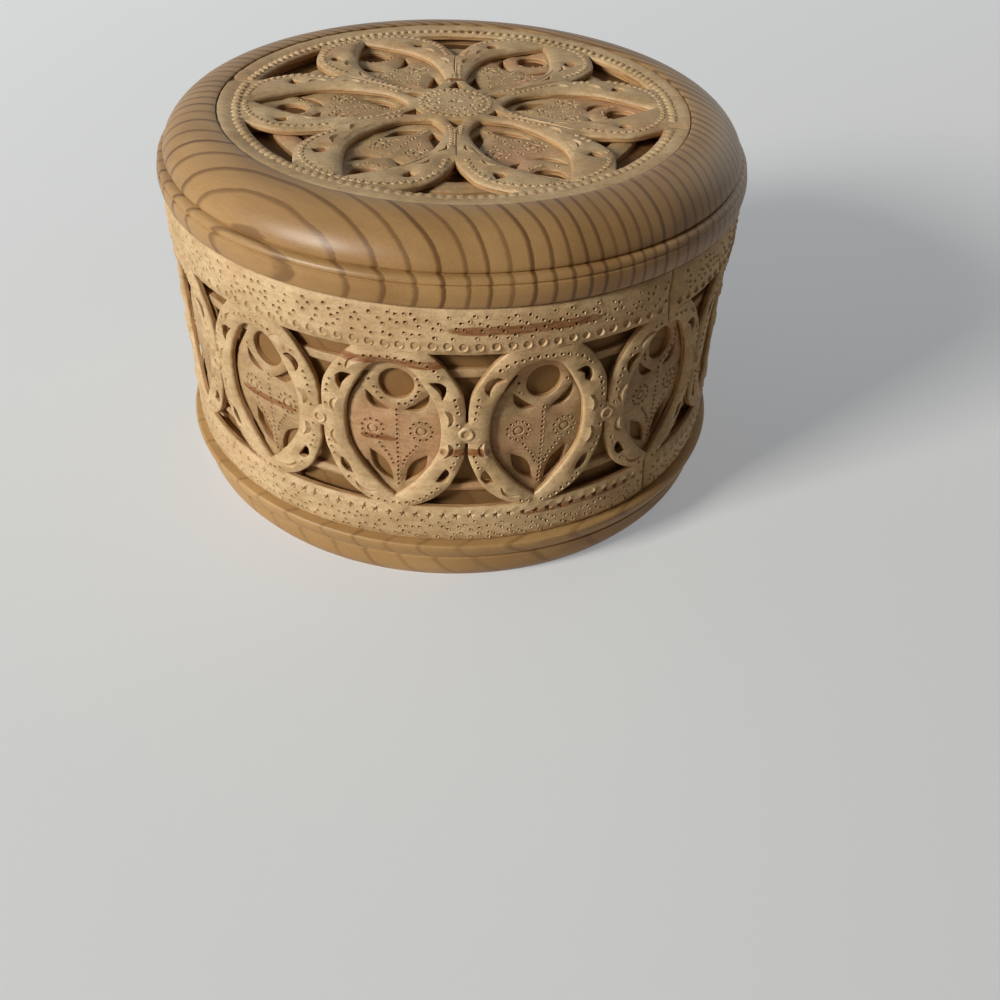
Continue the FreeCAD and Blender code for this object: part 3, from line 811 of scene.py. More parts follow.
def bark_edge(name, look, rosy):
    """The bark where a knife went through: thin warm and dark layers one over the other."""
    material, tree, shader = new_material(name)
    flat = value(tree, "ShaderNodeAttribute", {}, "Vector", attribute_name="flat")
    layers = speckle(tree, flat, (0.25, 0.25, 6.0))
    patches = speckle(tree, flat, (0.3, 0.3, 0.5))
    base = blend(tree, layers.ramp(0.42, 0.62), look.edge, look.edge_dark)
    base = blend(tree, patches.ramp(0.45, 0.7) * rosy, base, look.pink)
    feed(tree, shader, {"Base Color": base, "Roughness": 0.7, "Specular IOR Level": 0.3,
                        "Normal": bump(tree, 0.5, 0.0001, layers)})
    return material


def pine(name, look, log, contrast, tan, gloss, dark=0.0):
    """Turned pine, tanned by age and varnish; where it lies deep in shadow, tan and dark paint shade onto
    it.

    The log is the centre of its growth rings in millimetres, how close they are, and how far from the
    centre the first one shows.
    """
    material, tree, shader = new_material(name)
    place = value(tree, "ShaderNodeTexCoord", {}, "Object")
    place = value(tree, "ShaderNodeMapping", {"Vector": place, "Scale": (1 / MM, 1 / MM, 1 / MM)})
    rings = use_group(tree, growth_rings,
                      {"Place": place, **dict(zip(("Centre", "Spread", "Clear"), log))})
    # Tan pushes the wood towards the cloud colour. On the cup and the lid this is its own tone; behind the
    # bark and in the recess it is painted shade.
    base = blend(tree, rings["Cloud"] * 0.5 + tan, look.early, look.cloud)
    base = blend(tree, rings["Late"] * contrast, base, look.late)
    # Painted shade: pine that lies deep behind the bark or under the rosette is darkened towards the late
    # wood colour.
    base = blend(tree, dark, base, look.late)
    base = blend(tree, rings["Fibre"].ramp(0.3, 0.7) * -0.16 + 0.16, base, look.cloud, "MULTIPLY")
    height = rings["Fibre"] * 0.5 + rings["Late"] * 0.4
    feed(tree, shader, {"Base Color": base, "Roughness": rings["Fibre"] * 0.16 + gloss,
                        "Specular IOR Level": 0.38, "Normal": bump(tree, 0.25, 0.0001, height)})
    return material


# ---------------------------------------------------------------- ornament of the wall
# Outlines lie on the right of a medallion's, a gap's or a tulip's middle line, and their heights are
# above the floor. Those of the moons and the scallop cuts count from the medallion's middle.

RING_MIDDLE = 29.0
DROP = [(0, 16.5), (1.69, 18), (3.47, 20), (4.96, 22), (6.19, 24), (6.9, 26), (7.15, 29),
        (6.86, 32), (6.19, 34), (5.2, 36), (4.02, 38), (2.5, 39.7), (0, 40.4)]
HIGH_GAP = [(0.22, 30.7), (0.24, 33), (0.9, 36), (3.4, 40), (5.6, 42.2)]
LOW_GAP = [(0.22, 27.1), (0.25, 25.5), (0.5, 23.8), (2.05, 20), (3.5, 18), (6.0, 16), (8.4, 14.9)]
HIGH_MOONS = (
    [[(5.0, 8.9), (6.0, 9.5), (7.2, 9.2), (8.0, 8.2), (7.95, 7.1), (7.3, 6.3)],
     [(7.3, 6.3), (6.95, 7.4), (6.3, 8.3), (5.0, 8.9)]],
    [[(5.3, 8.7), (7.0, 8.75), (8.1, 8.0)], [(8.1, 8.0), (8.1, 6.6), (7.5, 5.4)],
     [(7.5, 5.4), (6.9, 7.0), (5.3, 8.7)]],
    [[(5.1, 8.9), (6.6, 9.35), (7.8, 8.4), (8.1, 7.0), (7.7, 6.0)],
     [(7.7, 6.0), (6.7, 6.7), (6.5, 8.0), (5.1, 8.9)]],
)
LOW_MOONS = (
    [[(6.2, -9.5), (7.4, -9.3), (8.4, -8.1), (8.5, -6.6)],
     [(8.5, -6.6), (7.5, -7.0), (6.8, -8.0), (6.2, -9.5)]],
    [[(6.1, -9.3), (7.5, -9.4), (8.5, -8.2)], [(8.5, -8.2), (8.4, -7.0), (7.9, -6.4)],
     [(7.9, -6.4), (7.0, -7.7), (6.1, -9.3)]],
)
RING_DOTS = [(0, 41.5), (3.0, 41.25), (5.6, 40.4), (7.5, 38.2), (9.0, 35.5), (9.65, 32.6),
             (9.75, 29), (9.7, 26), (9.35, 24), (8.0, 20.6), (6.6, 18.6), (4.4, 16.8),
             (2.2, 15.75), (0, 15.4)]
RING_LINES = ([(4.3, 42.65), (3.2, 42.7), (1.8, 42.6), (0.8, 42.3)],
              [(7.8, 14.6), (5.4, 14.85), (3.2, 14.95), (1.9, 15.1)])
# Scallop cuts on a medallion's frame: how far right of its middle, how far up, and how long.
SCALLOPS = ((8.25, 2.7, 3.0), (8.3, -3.1, 3.2), (4.75, 10.6, 3.6), (4.0, -11.4, 4.2))
SCALLOP_BULGE = 0.62
BOSS_HEIGHT = 28.9
# Rows of stamps along the strip: height, how far apart, and which stamp.
STAMP_ROWS = ((43.8, 2.15, "ring"), (13.5, 2.05, "star"))
VEE = [(-0.45, 0), (0.45, 0.5), (0.48, -0.5)]
HOOK = [(-0.95, -0.4), (-0.5, 0.5), (0.42, 0.58), (1.0, -0.2)]
PAIR = [(-0.5, 0), (0.5, 0.1)]
# Pricked fields: from and to which height, size of a dot, how far groups are apart, and the groups.
FIELDS = ((45.2, 48.6, 0.92, 2.8, (VEE, VEE, VEE, PAIR)), (9.3, 12.3, 0.86, 2.5, (VEE, HOOK, HOOK, PAIR)))
FIELD_ROWS, FIELD_SINGLES = 3, 260
SEAM_LINE = [(49.5, -0.95), (45.0, -0.9), (40.4, 0.0), (16.5, 0.0), (15.0, -0.4), (8.3, 0.6)]
STEP = 0.72                 # between the points of a strip's outlines
TOOL_SLANT, ANY_TURN = (-75, -5), (0, 360)

BUD_HEIGHT = 36.1
CALYX = [[(4.6, 34.7), (4.4, 32.8), (3.1, 31.5), (1.1, 31.5)], [(1.1, 31.5), (2.6, 32.7), (4.6, 34.7)]]
LEAF = [[(4.4, 23.9), (4.0, 21.0), (2.5, 19.2), (0.9, 18.3)],
        [(0.9, 18.3), (1.2, 20.4), (2.2, 22.4), (4.4, 23.9)]]
TWIG = [(3.1, 26.3), (2.4, 25.0), (1.2, 23.3), (0.75, 22.0)]
# Dots about a bud: radius, from and to which angle, and how many.
BUD_DOTS = ((3.3, -84, 20, 7), (3.95, -20, 18, 4))
# The barred windows between two tulips. A third number marks a corner.
WINDOWS = [
    [(0, 13.9), (6.6, 13.9, 1), (6.6, 17.3, 1), (0, 17.3)],
    [(0, 18.7), (6.6, 18.7, 1), (3.6, 23.5), (2.3, 28.5), (3.6, 33), (6.6, 37.7, 1), (0, 37.7)],
    [(0, 39.1), (6.6, 39.1, 1), (6.6, 43.1, 1), (0, 43.1)],
]


class Wall:
    """How a strip of bark lies on the wall: which radius it has and where it starts."""

    def __init__(self, sizes, inset, start):
        self.low, self.high = sizes.band_low / MM, sizes.band_high / MM
        self.foot = (sizes.wall_radius / MM) - inset
        self.flare = sizes.wall_flare / MM
        self.reference = self.foot + self.flare / 2
        self.start = start
        self.round = 2 * math.pi * self.reference
        self.pitch = self.round / sizes.medallions

    def place(self, flat):
        """Bend flat points round the wall."""
        angle = self.start + flat[:, 0] / self.reference
        up = (flat[:, 1] - self.low) / (self.high - self.low)
        radius = self.foot + self.flare * up + flat[:, 2]
        return np.column_stack([radius * np.sin(angle), -radius * np.cos(angle), flat[:, 1]])

    def streaks(self, rows):
        """Streaks given by their angle from the front in degrees, as places along the strip."""
        return [((math.radians(degrees) - self.start) % (2 * math.pi) * self.reference, *rest)
                for degrees, *rest in rows]


def strip_border(wall, openings, seam, gap):
    """The border of a strip whose ends cut through openings.

    An opening is the right half of an outline that is open to the middle line at both of its ends.
    """
    def shift(y):
        levels = sorted(seam)
        return np.interp(y, [level[0] for level in levels], [level[1] for level in levels])

    def straight(base, low, high):
        span = np.linspace(low, high, max(2, round((high - low) / STEP) + 1))
        return [(base + shift(y), y) for y in span]

    left, right = [], []
    ends = ((left, gap / 2, 1), (right, wall.round - gap / 2, -1))
    level = wall.low
    for half in openings:
        for side, base, sign in ends:
            side += straight(base, level, half[0][1])[:-1]
            side += [(base + sign * x + (shift(y) if x < 0.01 else 0), y)
                     for x, y in np.vstack([smooth_line(run, STEP)[:-1] for run in half_runs(half)])]
        level = half[-1][1]
    for side, base, _ in ends:
        side += straight(base, level, wall.high)
    low = smooth_line([left[0], right[0]], 1.2)[1:-1]
    high = smooth_line([right[-1], left[-1]], 1.2)[1:-1]
    return np.vstack([low, right, high, left[::-1]])


def half_runs(half):
    """Split a half outline into runs at its marked corners."""
    runs, run = [], []
    for point in half:
        run.append(point[:2])
        if len(point) == 3:
            runs.append(run)
            run = [point[:2]]
    runs.append(run)
    return [run for run in runs if len(run) > 1]


def prick(sheet, stamp, draw, points, sizes, size=1.0, shake=(0, 0), turns=TOOL_SLANT, keep=0.03):
    """Press a stamp at each point, every time a little off it, turned, and larger or smaller."""
    for at in points:
        x, y = (c + (draw.uniform(-far, far) if far else 0) for c, far in zip(at, shake))
        sheet.press(stamp, x, y, draw.uniform(*turns), size * draw.uniform(*sizes), keep=keep)


def prick_field(sheet, stamp, draw, wall, low, high, size, gap, shapes):
    """Prick a strip all over with small groups in loose rows, and single dots between them."""
    many = round(wall.round / gap)
    for row in range(FIELD_ROWS):
        for i in range(many):
            x = (i + 0.5 + 0.5 * (row % 2)) * wall.round / many + draw.uniform(-0.5, 0.5)
            y = low + (high - low) * row / (FIELD_ROWS - 1) + draw.uniform(-0.4, 0.4)
            if 1 < x < wall.round - 1:
                group = moved(draw.choice(shapes), x, y, draw.uniform(*ANY_TURN))
                prick(sheet, stamp, draw, group, (0.85, 1.15), size, (0.05, 0.05), keep=0.08)
    for _ in range(FIELD_SINGLES):
        x, y = draw.uniform(1, wall.round - 1), draw.uniform(low - 0.4, high + 0.4)
        if sheet.room.free(x, y, 0.5):
            prick(sheet, stamp, draw, [(x, y)], (0.8, 1.1), size, keep=0.1)


def halves(slots):
    """Each medallion's right and left half with its sign, without those beyond the strip's ends."""
    for k, slot in enumerate(slots):
        for sign in (1, -1):
            if 0 <= k - (sign < 0) < len(slots) - 1:
                yield slot, sign


def in_slot(loop, slot):
    """An outline about a medallion's middle, set in its place on the strip."""
    x, turn, size, right, up = slot
    return moved(loop, x + right, RING_MIDDLE + up, turn, size)


def openwork_strip(wall, thickness, stamps, count, draw):
    """The outer strip of the wall, laid out flat."""
    sheet = Bark(strip_border(wall, [DROP], SEAM_LINE, 0.3), thickness, 0.3, seed=1)
    slots = [(k * wall.pitch, draw.uniform(-1.0, 1.0), draw.uniform(0.985, 1.02),
              draw.uniform(-0.2, 0.2), draw.uniform(-0.15, 0.15)) for k in range(count + 1)]
    for slot in slots[1:-1]:
        loop = outline([DROP, mirror(DROP)], STEP)
        sheet.cut(in_slot(loop - (0, RING_MIDDLE), slot), 0.4)
    for x, *_ in slots[:-1]:
        middle = x + wall.pitch / 2 + draw.uniform(-0.1, 0.1)
        for half, wide in ((HIGH_GAP, draw.uniform(0.92, 1.06)), (LOW_GAP, draw.uniform(0.92, 1.03))):
            half = [(a * (wide if a > 0.4 else 1), b) for a, b in half]
            other = mirror(half)
            loop = outline([half, [half[-1], other[0]], other, [other[-1], half[0]]], STEP)
            sheet.cut(loop + (middle, 0), 0.3)
    for slot, sign in halves(slots):
        for moons in (HIGH_MOONS, LOW_MOONS):
            loop = outline(draw.choice(moons), 0.42)
            middle = loop.mean(0)
            loop = moved(loop - middle, 0, 0, draw.uniform(-4, 4), draw.uniform(0.84, 0.93)) + middle
            sheet.cut(in_slot(loop * (sign, 1), slot), 0.13)
    for (x, *_), sign in halves(slots):
        if sign > 0:
            sheet.press(stamps["boss"], x + wall.pitch / 2, BOSS_HEIGHT + draw.uniform(-0.1, 0.1),
                        draw.uniform(*ANY_TURN), keep=0.03)
        for away, up, long in SCALLOPS:
            lean = math.degrees(math.atan2(up, away * 1.25))
            half = long * draw.uniform(0.85, 1.1) / 2
            line = [(-0.35, -half), (SCALLOP_BULGE * 0.55, -half * 0.5), (SCALLOP_BULGE * 0.8, 0),
                    (SCALLOP_BULGE * 0.55, half * 0.5), (-0.35, half)]
            line = moved(line, away, up, lean + draw.uniform(-8, 8))
            line = line * (sign, 1) + (x + draw.uniform(-0.15, 0.15), RING_MIDDLE)
            sheet.gouge(line[::-sign], 0.95, 0.32, lip=0.2)
        for run in RING_LINES:
            run = [(sign * a + x, b + draw.uniform(-0.05, 0.05)) for a, b in run]
            sheet.gouge(run, 0.2, 0.2)
    for (x, *_), sign in halves(slots):
        dots = smooth_line(RING_DOTS, 1.12)[(0 if sign > 0 else 1):]
        if x in (slots[0][0], slots[-1][0]):
            dots = [dot for dot in dots if dot[0] >= 0.7]
        prick(sheet, stamps["dot"], draw, [(sign * a + x, b) for a, b in dots], (0.85, 1.15),
              shake=(0.08, 0.08), keep=0.04)
    for level, gap, name in STAMP_ROWS:
        many = round(wall.round / gap)
        row = [((i + 0.5) * wall.round / many, level) for i in range(many)]
        prick(sheet, stamps[name], draw, row, (0.88, 1.02), shake=(0.1, 0.08), turns=(-60, -20))
    for field in FIELDS:
        prick_field(sheet, stamps["dot"], draw, wall, *field)
    return sheet


def stamped_strip(wall, thickness, stamps, count, draw):
    """The inner strip of the wall, laid out flat, starting between two tulips."""
    seam = [(wall.low, 0.0), (wall.high, 0.0)]
    sheet = Bark(strip_border(wall, WINDOWS, seam, 0.2), thickness, 0.2, seed=2)
    for k in range(1, count):
        for half in WINDOWS:
            runs = half_runs(half)
            loop = outline(runs + [mirror(run) for run in reversed(runs)], STEP)
            sheet.cut(loop + (k * wall.pitch, 0), 0.16)
    for k in range(count):
        x = (k + 0.5) * wall.pitch
        bud = arc(0, 0, draw.uniform(2.55, 2.8), 0, 346, 25)
        sheet.cut(moved(bud, x + draw.uniform(-0.2, 0.2), BUD_HEIGHT), 0.16)
        for sign in (1, -1):
            for runs in (CALYX, LEAF):
                loop = outline(runs, 0.5) * (sign, 1)
                middle = loop.mean(0)
                sheet.cut(moved(loop - middle, x + middle[0], middle[1] + draw.uniform(-0.15, 0.15),
                                draw.uniform(-4, 4), draw.uniform(0.92, 1.05)), 0.16)
        for sign in (1, -1):
            flower = (x + sign * 3.5 + draw.uniform(-0.2, 0.2), 28.2 + draw.uniform(-0.4, 0.4))
            sheet.press(stamps["flower"], *flower, draw.uniform(*ANY_TURN))
            prick(sheet, stamps["dot"], draw, arc(*flower, 1.62, 0, 330, 11), (0.8, 0.95))
            twig = [(x + sign * a, b) for a, b in smooth_line(TWIG, 0.85)]
            prick(sheet, stamps["dot"], draw, twig, (0.78, 0.92))
            for dots in BUD_DOTS:
                dots = [(x + sign * (a - x), b) for a, b in arc(x, BUD_HEIGHT, *dots)]
                prick(sheet, stamps["dot"], draw, dots, (0.85, 1.05), shake=(0, 0.1))
        stem = [(x, y) for y in np.arange(18.2, 32.6, 0.85)]
        prick(sheet, stamps["dot"], draw, stem, (0.82, 0.94), shake=(0.06, 0))
    return sheet


# ---------------------------------------------------------------- ornament of the lid
# Outlines are drawn for a petal, or for a place between two petals, that points to the right.

PETAL = [(31.0, 0), (27.9, 2.4), (23.3, 5.0), (19.1, 5.85), (15.1, 5.4), (11.2, 4.3), (9.4, 3.1),
         (7.9, 1.2), (7.3, 0)]
WEB = [(21.6, 0), (24.5, 1.1), (27.9, 2.9), (29.7, 5.2), (31.247, 8.373)]
SLIVER = [(6.45, 1.15), (7.6, 0.85), (9.6, 0)]
SLIVER_FOOT = [(6.45, -1.15), (6.5, 0), (6.45, 1.15)]
EYELET = [(-0.9, -0.25), (-0.1, 0.85), (0.95, 0.45), (0.75, -0.75)]
EYELET_OUT, EYELET_ASIDE = 26.9, 16.6
# Scallop cuts beside a petal: how far out, how far aside, how long, and how far turned.
PETAL_SCALLOPS = ((12.6, 6.95, 2.8, 12), (16.6, 7.55, 3.0, 3), (22.0, 7.55, 3.0, -16))
TIP_DOTS = [(32.15, 0), (32.0, 2.6), (31.3, 5.2), (30.0, 7.4), (28.0, 9.2), (25.6, 10.25),
            (23.2, 10.4), (21.2, 10.05), (19.4, 9.5)]
ROOT_DOTS = [(16.9, 8.6), (14.5, 7.5), (12, 6.2), (9.6, 4.7), (7.7, 3.2)]
# Rings of dots on the hub: radius, how many, and how large.
HUB_DOTS = ((4.1, 16, 1.35), (2.9, 11, 1.35), (1.8, 6, 1.2))
HUB_PEARLS, HUB_PEARLS_OUT = 30, 5.35
ROPE_BEADS, ROPE_OUT = 150, 33.5
LID_RIM = 32.35
CRACK = [[(33.0, 0), (34.4, 0.2), (35.8, 0.12)], [(35.8, 0.12), (34.4, -0.16), (33.0, 0)]]
CRACKS_AT, CRACK_ROOM = (167.5, -13.5), 1.9
BUDS_AT = (26.0, 26.4, 27.3, 25.4, 26.9, 26.6)
LID_CALYX = [[(24.4, 4.6), (22.4, 4.3), (20.9, 2.9), (20.7, 1.1)],
             [(20.7, 1.1), (22.0, 2.6), (24.4, 4.6)]]
LID_LEAF = [[(14.4, 4.5), (11.6, 4.2), (9.9, 2.9), (9.1, 1.0)],
            [(9.1, 1.0), (11.2, 1.6), (14.4, 4.5)]]
LID_TWIG = [(15.8, 2.7), (14.2, 1.5), (13.2, 0.9)]
WEDGE = [(20.9, 0), (24.0, 2.0), (25.3, 3.3)]
WEDGE_RIM = arc(0, 0, 25.55, 7.4, -7.4, 6)
STRAP_WINDOW = arc(0, 0, 28.7, -17, 17, 9), arc(0, 0, 33.4, 15.5, -15.5, 9)


def openwork_disc(radius, thickness, stamps, petals, draw):
    """The outer sheet of the lid, laid out flat."""
    sheet = Bark(np.array(circle(radius, 280)), thickness, 0.16, seed=3, dips=False)
    angles = [360 / petals * k for k in range(petals)]
    for seam in CRACKS_AT:
        sheet.cut(turned(outline(CRACK, 0.4), seam), 0.06)
    for angle in angles:
        side = angle + 180 / petals
        size = draw.uniform(0.985, 1.01)
        loop = outline(both_sides(PETAL), 0.8) * (size, draw.uniform(0.96, 1.04))
        sheet.cut(turned(loop, angle + draw.uniform(-0.6, 0.6)), 0.44)
        over, under = both_sides(WEB)
        loop = outline([over, arc(0, 0, LID_RIM, 15, -15, 9), under], 0.8) * (1, draw.uniform(0.93, 1.04))
        sheet.cut(turned(loop, side + draw.uniform(-0.5, 0.5)), 0.32)
        loop = outline(both_sides(SLIVER) + [SLIVER_FOOT], 0.5)
        sheet.cut(turned(loop, side + draw.uniform(-2, 2)), 0.14)
        for sign in (1, -1):
            x, y = turned([(EYELET_OUT, 0)], sign * EYELET_ASIDE + draw.uniform(-1, 1))[0]
            loop = moved(outline([EYELET + EYELET[:1]], 0.42), x, y, draw.uniform(-40, 40) + sign * 30,
                         draw.uniform(0.95, 1.2), sign < 0)
            sheet.cut(turned(loop, angle), 0.16)
    for k in range(petals):
        side = 360 / petals * (k + 0.5)
        spoke = [(10.6, draw.uniform(-0.1, 0.1)), (15.5, draw.uniform(-0.15, 0.15)), (20.6, 0)]
        sheet.gouge(turned(spoke, side), 0.4, 0.24)
        for sign in (1, -1):
            slit = [(7.7, sign * 1.75), (9.4, sign * 1.45), (11.4, sign * 0.8)]
            sheet.gouge(turned(slit[::sign], side), 0.3, 0.26)
    for angle in angles:
        for sign in (1, -1):
            for away, off, long, lean in PETAL_SCALLOPS:
                line = [(-long / 2, -0.25), (0, 0.35), (long / 2, -0.25)]
                line = moved(line, away, off, lean) * (1, sign)
                sheet.gouge(turned(line[::-sign], angle), 0.72, 0.38, lip=0.12)
    for angle in angles:
        for sign in (1, -1):
            for line, step, size in ((TIP_DOTS, 1.14, 1.0), (ROOT_DOTS, 1.0, 0.78)):
                dots = smooth_line([(x, sign * y) for x, y in line], step)
                prick(sheet, stamps["pearl"], draw, turned(dots, angle), (0.86, 1.0), size,
                      turns=(0, 50), keep=0.02)
        rim = grown(outline(both_sides(PETAL), 0.8), 0.86)
        rim = turned(np.vstack([rim, rim[:1]]), angle)
        for start in range(0, len(rim) - 4, 9):
            sheet.gouge(rim[start:start + 10], 0.22, 0.14)
    for k in range(HUB_PEARLS):
        angle = 360 / HUB_PEARLS * (k + 0.5)
        sheet.press(stamps["pearl"], *turned([(HUB_PEARLS_OUT, 0)], angle)[0], angle, keep=0.0)
    sheet.press(stamps["star"], 0, 0, 10, 1.6)
    for radius, many, size in HUB_DOTS:
        prick(sheet, stamps["dot"], draw, circle(radius, many), (0.85, 1.15), size, (0.1, 0.1),
              ANY_TURN, 0.02)
    for k in range(ROPE_BEADS):
        angle = 360 / ROPE_BEADS * k + draw.uniform(-0.15, 0.15)
        if min(abs((angle - seam + 180) % 360 - 180) for seam in CRACKS_AT) < CRACK_ROOM:
            continue
        # The rope is worn flatter at the front.
        front = max(0, math.cos(math.radians(angle + 90)))
        x, y = turned([(ROPE_OUT + draw.uniform(-0.05, 0.05), 0)], angle)[0]
        sheet.press(stamps["bead"], x, y, angle, draw.uniform(0.94, 1.02), 1 - 0.6 * front, keep=0.0)
    return sheet


def stamped_disc(radius, thickness, stamps, petals, draw):
    """The inner sheet of the lid, laid out flat."""
    sheet = Bark(np.array(circle(radius, 200)), thickness, 0.12, seed=4)
    for k in range(petals):
        side = 360 / petals * (k + 0.5)
        angle = 360 / petals * k + draw.uniform(-1.2, 1.2)
        bud = BUDS_AT[k % len(BUDS_AT)]
        sheet.cut(turned(moved(arc(0, 0, 2.45, 0, 342, 20), bud, 0), angle), 0.2)
        for sign in (1, -1):
            for runs in (LID_CALYX, LID_LEAF):
                sheet.cut(turned(outline(runs, 0.5) * (1, sign), angle), 0.14)
            flower = turned([(17.6, sign * 3.2)], angle)[0]
            sheet.press(stamps["flower"], *flower, draw.uniform(*ANY_TURN), 0.9)
            prick(sheet, stamps["dot"], draw, arc(*flower, 1.6, 0, 315, 8), (0.95, 1.2), turns=ANY_TURN)
            for line, sizes in ((arc(bud, 0, 3.2, 110, 172, 4), (0.85, 1.1)),
                                (smooth_line(LID_TWIG, 0.85), (0.8, 0.93))):
                line = turned([(a, sign * b) for a, b in line], angle)
                prick(sheet, stamps["dot"], draw, line, sizes, turns=ANY_TURN)
        stem = turned([(x, 0) for x in np.arange(9.4, 20.0, 0.9)], angle)
        prick(sheet, stamps["dot"], draw, stem, (0.85, 1.0), turns=ANY_TURN)
        over, under = both_sides(WEDGE)
        sheet.cut(turned(outline([over, WEDGE_RIM, under], 0.7), side), 0.14)
        low, high = STRAP_WINDOW
        loop = outline([low, [low[-1], high[0]], high, [high[-1], low[0]]], 0.8)
        sheet.cut(turned(loop, side), 0.14)
    return sheet


def lay_disc(top, turn):
    """How a flat disc lies in the lid."""
    def place(flat):
        return np.column_stack([turned(flat[:, :2], turn), flat[:, 2] + top])
    return place


# ---------------------------------------------------------------- operators

LIP, LIP_HEIGHT = 2.0, 4.2
PINE_WALL = 3.0             # pine behind the bark
CUP_FLOOR = 6.0
LID_SOCKET_RADIUS, LID_SOCKET = 41.12, 4.8
RECESS_RADIUS, RECESS = 36.4, 2.53
CREST_DROP = 0.06            # the crest lies so far below the highest point of the lid
SHOULDER_PULL = 43.45, 60.53    # the point that the shoulder's curve is drawn towards
# The inner strip's joint: so many half medallions on from the first one, and so many degrees.
INNER_JOINT, INNER_LEAN = 15, 0.95
INNER_DISC_TURN = 1.0
# Where a log grew: the centre of its rings, how close they are, and the first one that shows.
CUP_LOG = (-60, 30, -14), 0.7, 0
LID_LOG = (-52.8, -78.1, 52.8), 1.0, 48.9
# Streaks: angle from the front or place along the sheet, height, half length and half height.
OPENWORK_STREAKS = ((16, 46.3, 11, 0.75), (352, 40.6, 8.5, 0.7), (5.5, 25.6, 3.8, 0.7), (29, 13.2, 10, 0.5),
                    (128, 47.2, 9, 0.6), (205, 20.0, 12, 0.6), (262, 45.6, 7, 0.5))
STAMPED_STREAKS = ((349, 26.6, 2.8, 0.55), (324, 27.3, 5.5, 0.6), (60, 30.0, 4.0, 0.45))
ROSETTE_STREAKS = ((0, 10, 4, 0.35), (2.5, 33.5, 3.5, 0.6))
# Lamps: name, degrees from the front, degrees up, metres away, width, share of the key, and tint.
LAMPS = (("key", -52, 26, 1.6, 0.42, 1.0, (1.0, 0.97, 0.92)),
         ("back_fill", 140, 22, 1.6, 1.0, 0.085, (1.0, 0.87, 0.7)),
         ("sky", -115, 48, 1.6, 1.2, 0.05, (0.82, 0.92, 1.0)))
LAMP_AIM = (0, 0, 0.03)
BACKDROP, BACKDROP_TINT, WORLD_TINT = 0.62, (0.98, 1.0, 1.0), (1.0, 0.87, 0.7)
FLOOR_WIDTH, FLOOR_CLOUD, FLOOR_GLOW = 6.0, (0.6, 0.6, 0.62), (0.9, 0.94, 1.0)
# Painted light: the floor's glow is brighter to the back and the left and fainter to the front and the
# right.
FLOOR_PAINTED_LIGHT_SLOPE = (-0.7, 1.3, 0)
CAMERA_PLACE, CAMERA_TILT, CAMERA_ROLL = (0.009634, -0.180130, 0.128309), 50.64, 2.575
LENS, FILM = 42.48, 36.0


def dress(item, body, node, materials):
    """Give a finished piece its material and say what it stands for."""
    for material in materials:
        item.data.materials.append(material)
    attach(item, body)
    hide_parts(node)


def dress_bark(item, body, node, look, *, offset, rosy, shady, inner_painted_shade, edge_rosy, streaks=()):
    """Give a sheet of bark its face and its cut edges."""
    dress(item, body, node, [
        bark_face(f"bark_of_{node}", look, offset, rosy, shady, inner_painted_shade, streaks),
        bark_edge(f"cut_edge_of_{node}", look, edge_rosy)])


class BOX_OT_turned_cup(bpy.types.Operator):
    """Turn the cup: foot, grooved ledge, wall behind the bark and the lip for the lid"""

    bl_idname = "bark_box.turned_cup"
    bl_label = "Turned Cup"

    def execute(self, context):
        sizes, look = context.scene.box_sizes, context.scene.pine_finish
        low, high, part = sizes.band_low / MM, sizes.band_high / MM, PARTING / MM
        layers = (sizes.openwork + sizes.stamped + 2 * sizes.clearance) / MM
        foot, top = sizes.wall_radius / MM, (sizes.wall_radius + sizes.wall_flare) / MM
        inner = foot - layers - PINE_WALL
        lip, lip_top = inner + LIP, part + LIP_HEIGHT
        section = [(0, 0), (foot - 1.85, 0)]
        section += rounded([(foot - 1.85, 0), (foot - 1.6, 0.3), (44.19, 2.2), (44.7, 4.9)], 0.5)
        section += [(44.38, 5.12), (44.35, 5.35), (44.92, 5.6)]
        section += rounded([(44.92, 5.6), (45.47, 6.6), (45.8, low - 0.6)], 0.5)
        section += [(45.74, low - 0.28), (45.52, low - 0.06), (45.2, low)]
        section += [(foot - layers, low), (top - layers, high), (top - layers, part)]
        section += [(lip, part), (lip, lip_top - 0.4), (lip - 0.4, lip_top), (inner + 0.2, lip_top),
                    (inner, lip_top - 0.2)]
        section += [(inner - back, CUP_FLOOR + up) for back, up in (
            (0, 1.5), (0.12, 0.95), (0.44, 0.44), (0.95, 0.1), (1.5, 0))]
        item = turn_pine("pine_cup", section + [(0, CUP_FLOOR)])
        # The pine behind the bark gets its own material, darkened with painted shade.
        for face in item.data.polygons:
            out, up = math.hypot(face.center.x, face.center.y) / MM, face.center.z / MM
            if foot - layers - 0.3 < out < top - layers + 0.1 and low < up < high:
                face.material_index = 1
        dress(item, "box", "turned_cup", [
            pine("pine_of_cup", look, CUP_LOG, contrast=0.4, tan=0.0, gloss=0.42),
            pine("pine_behind_bark_painted_shade", look, CUP_LOG, contrast=0.4, tan=0.5, gloss=0.6, dark=0.38)])
        return {"FINISHED"}


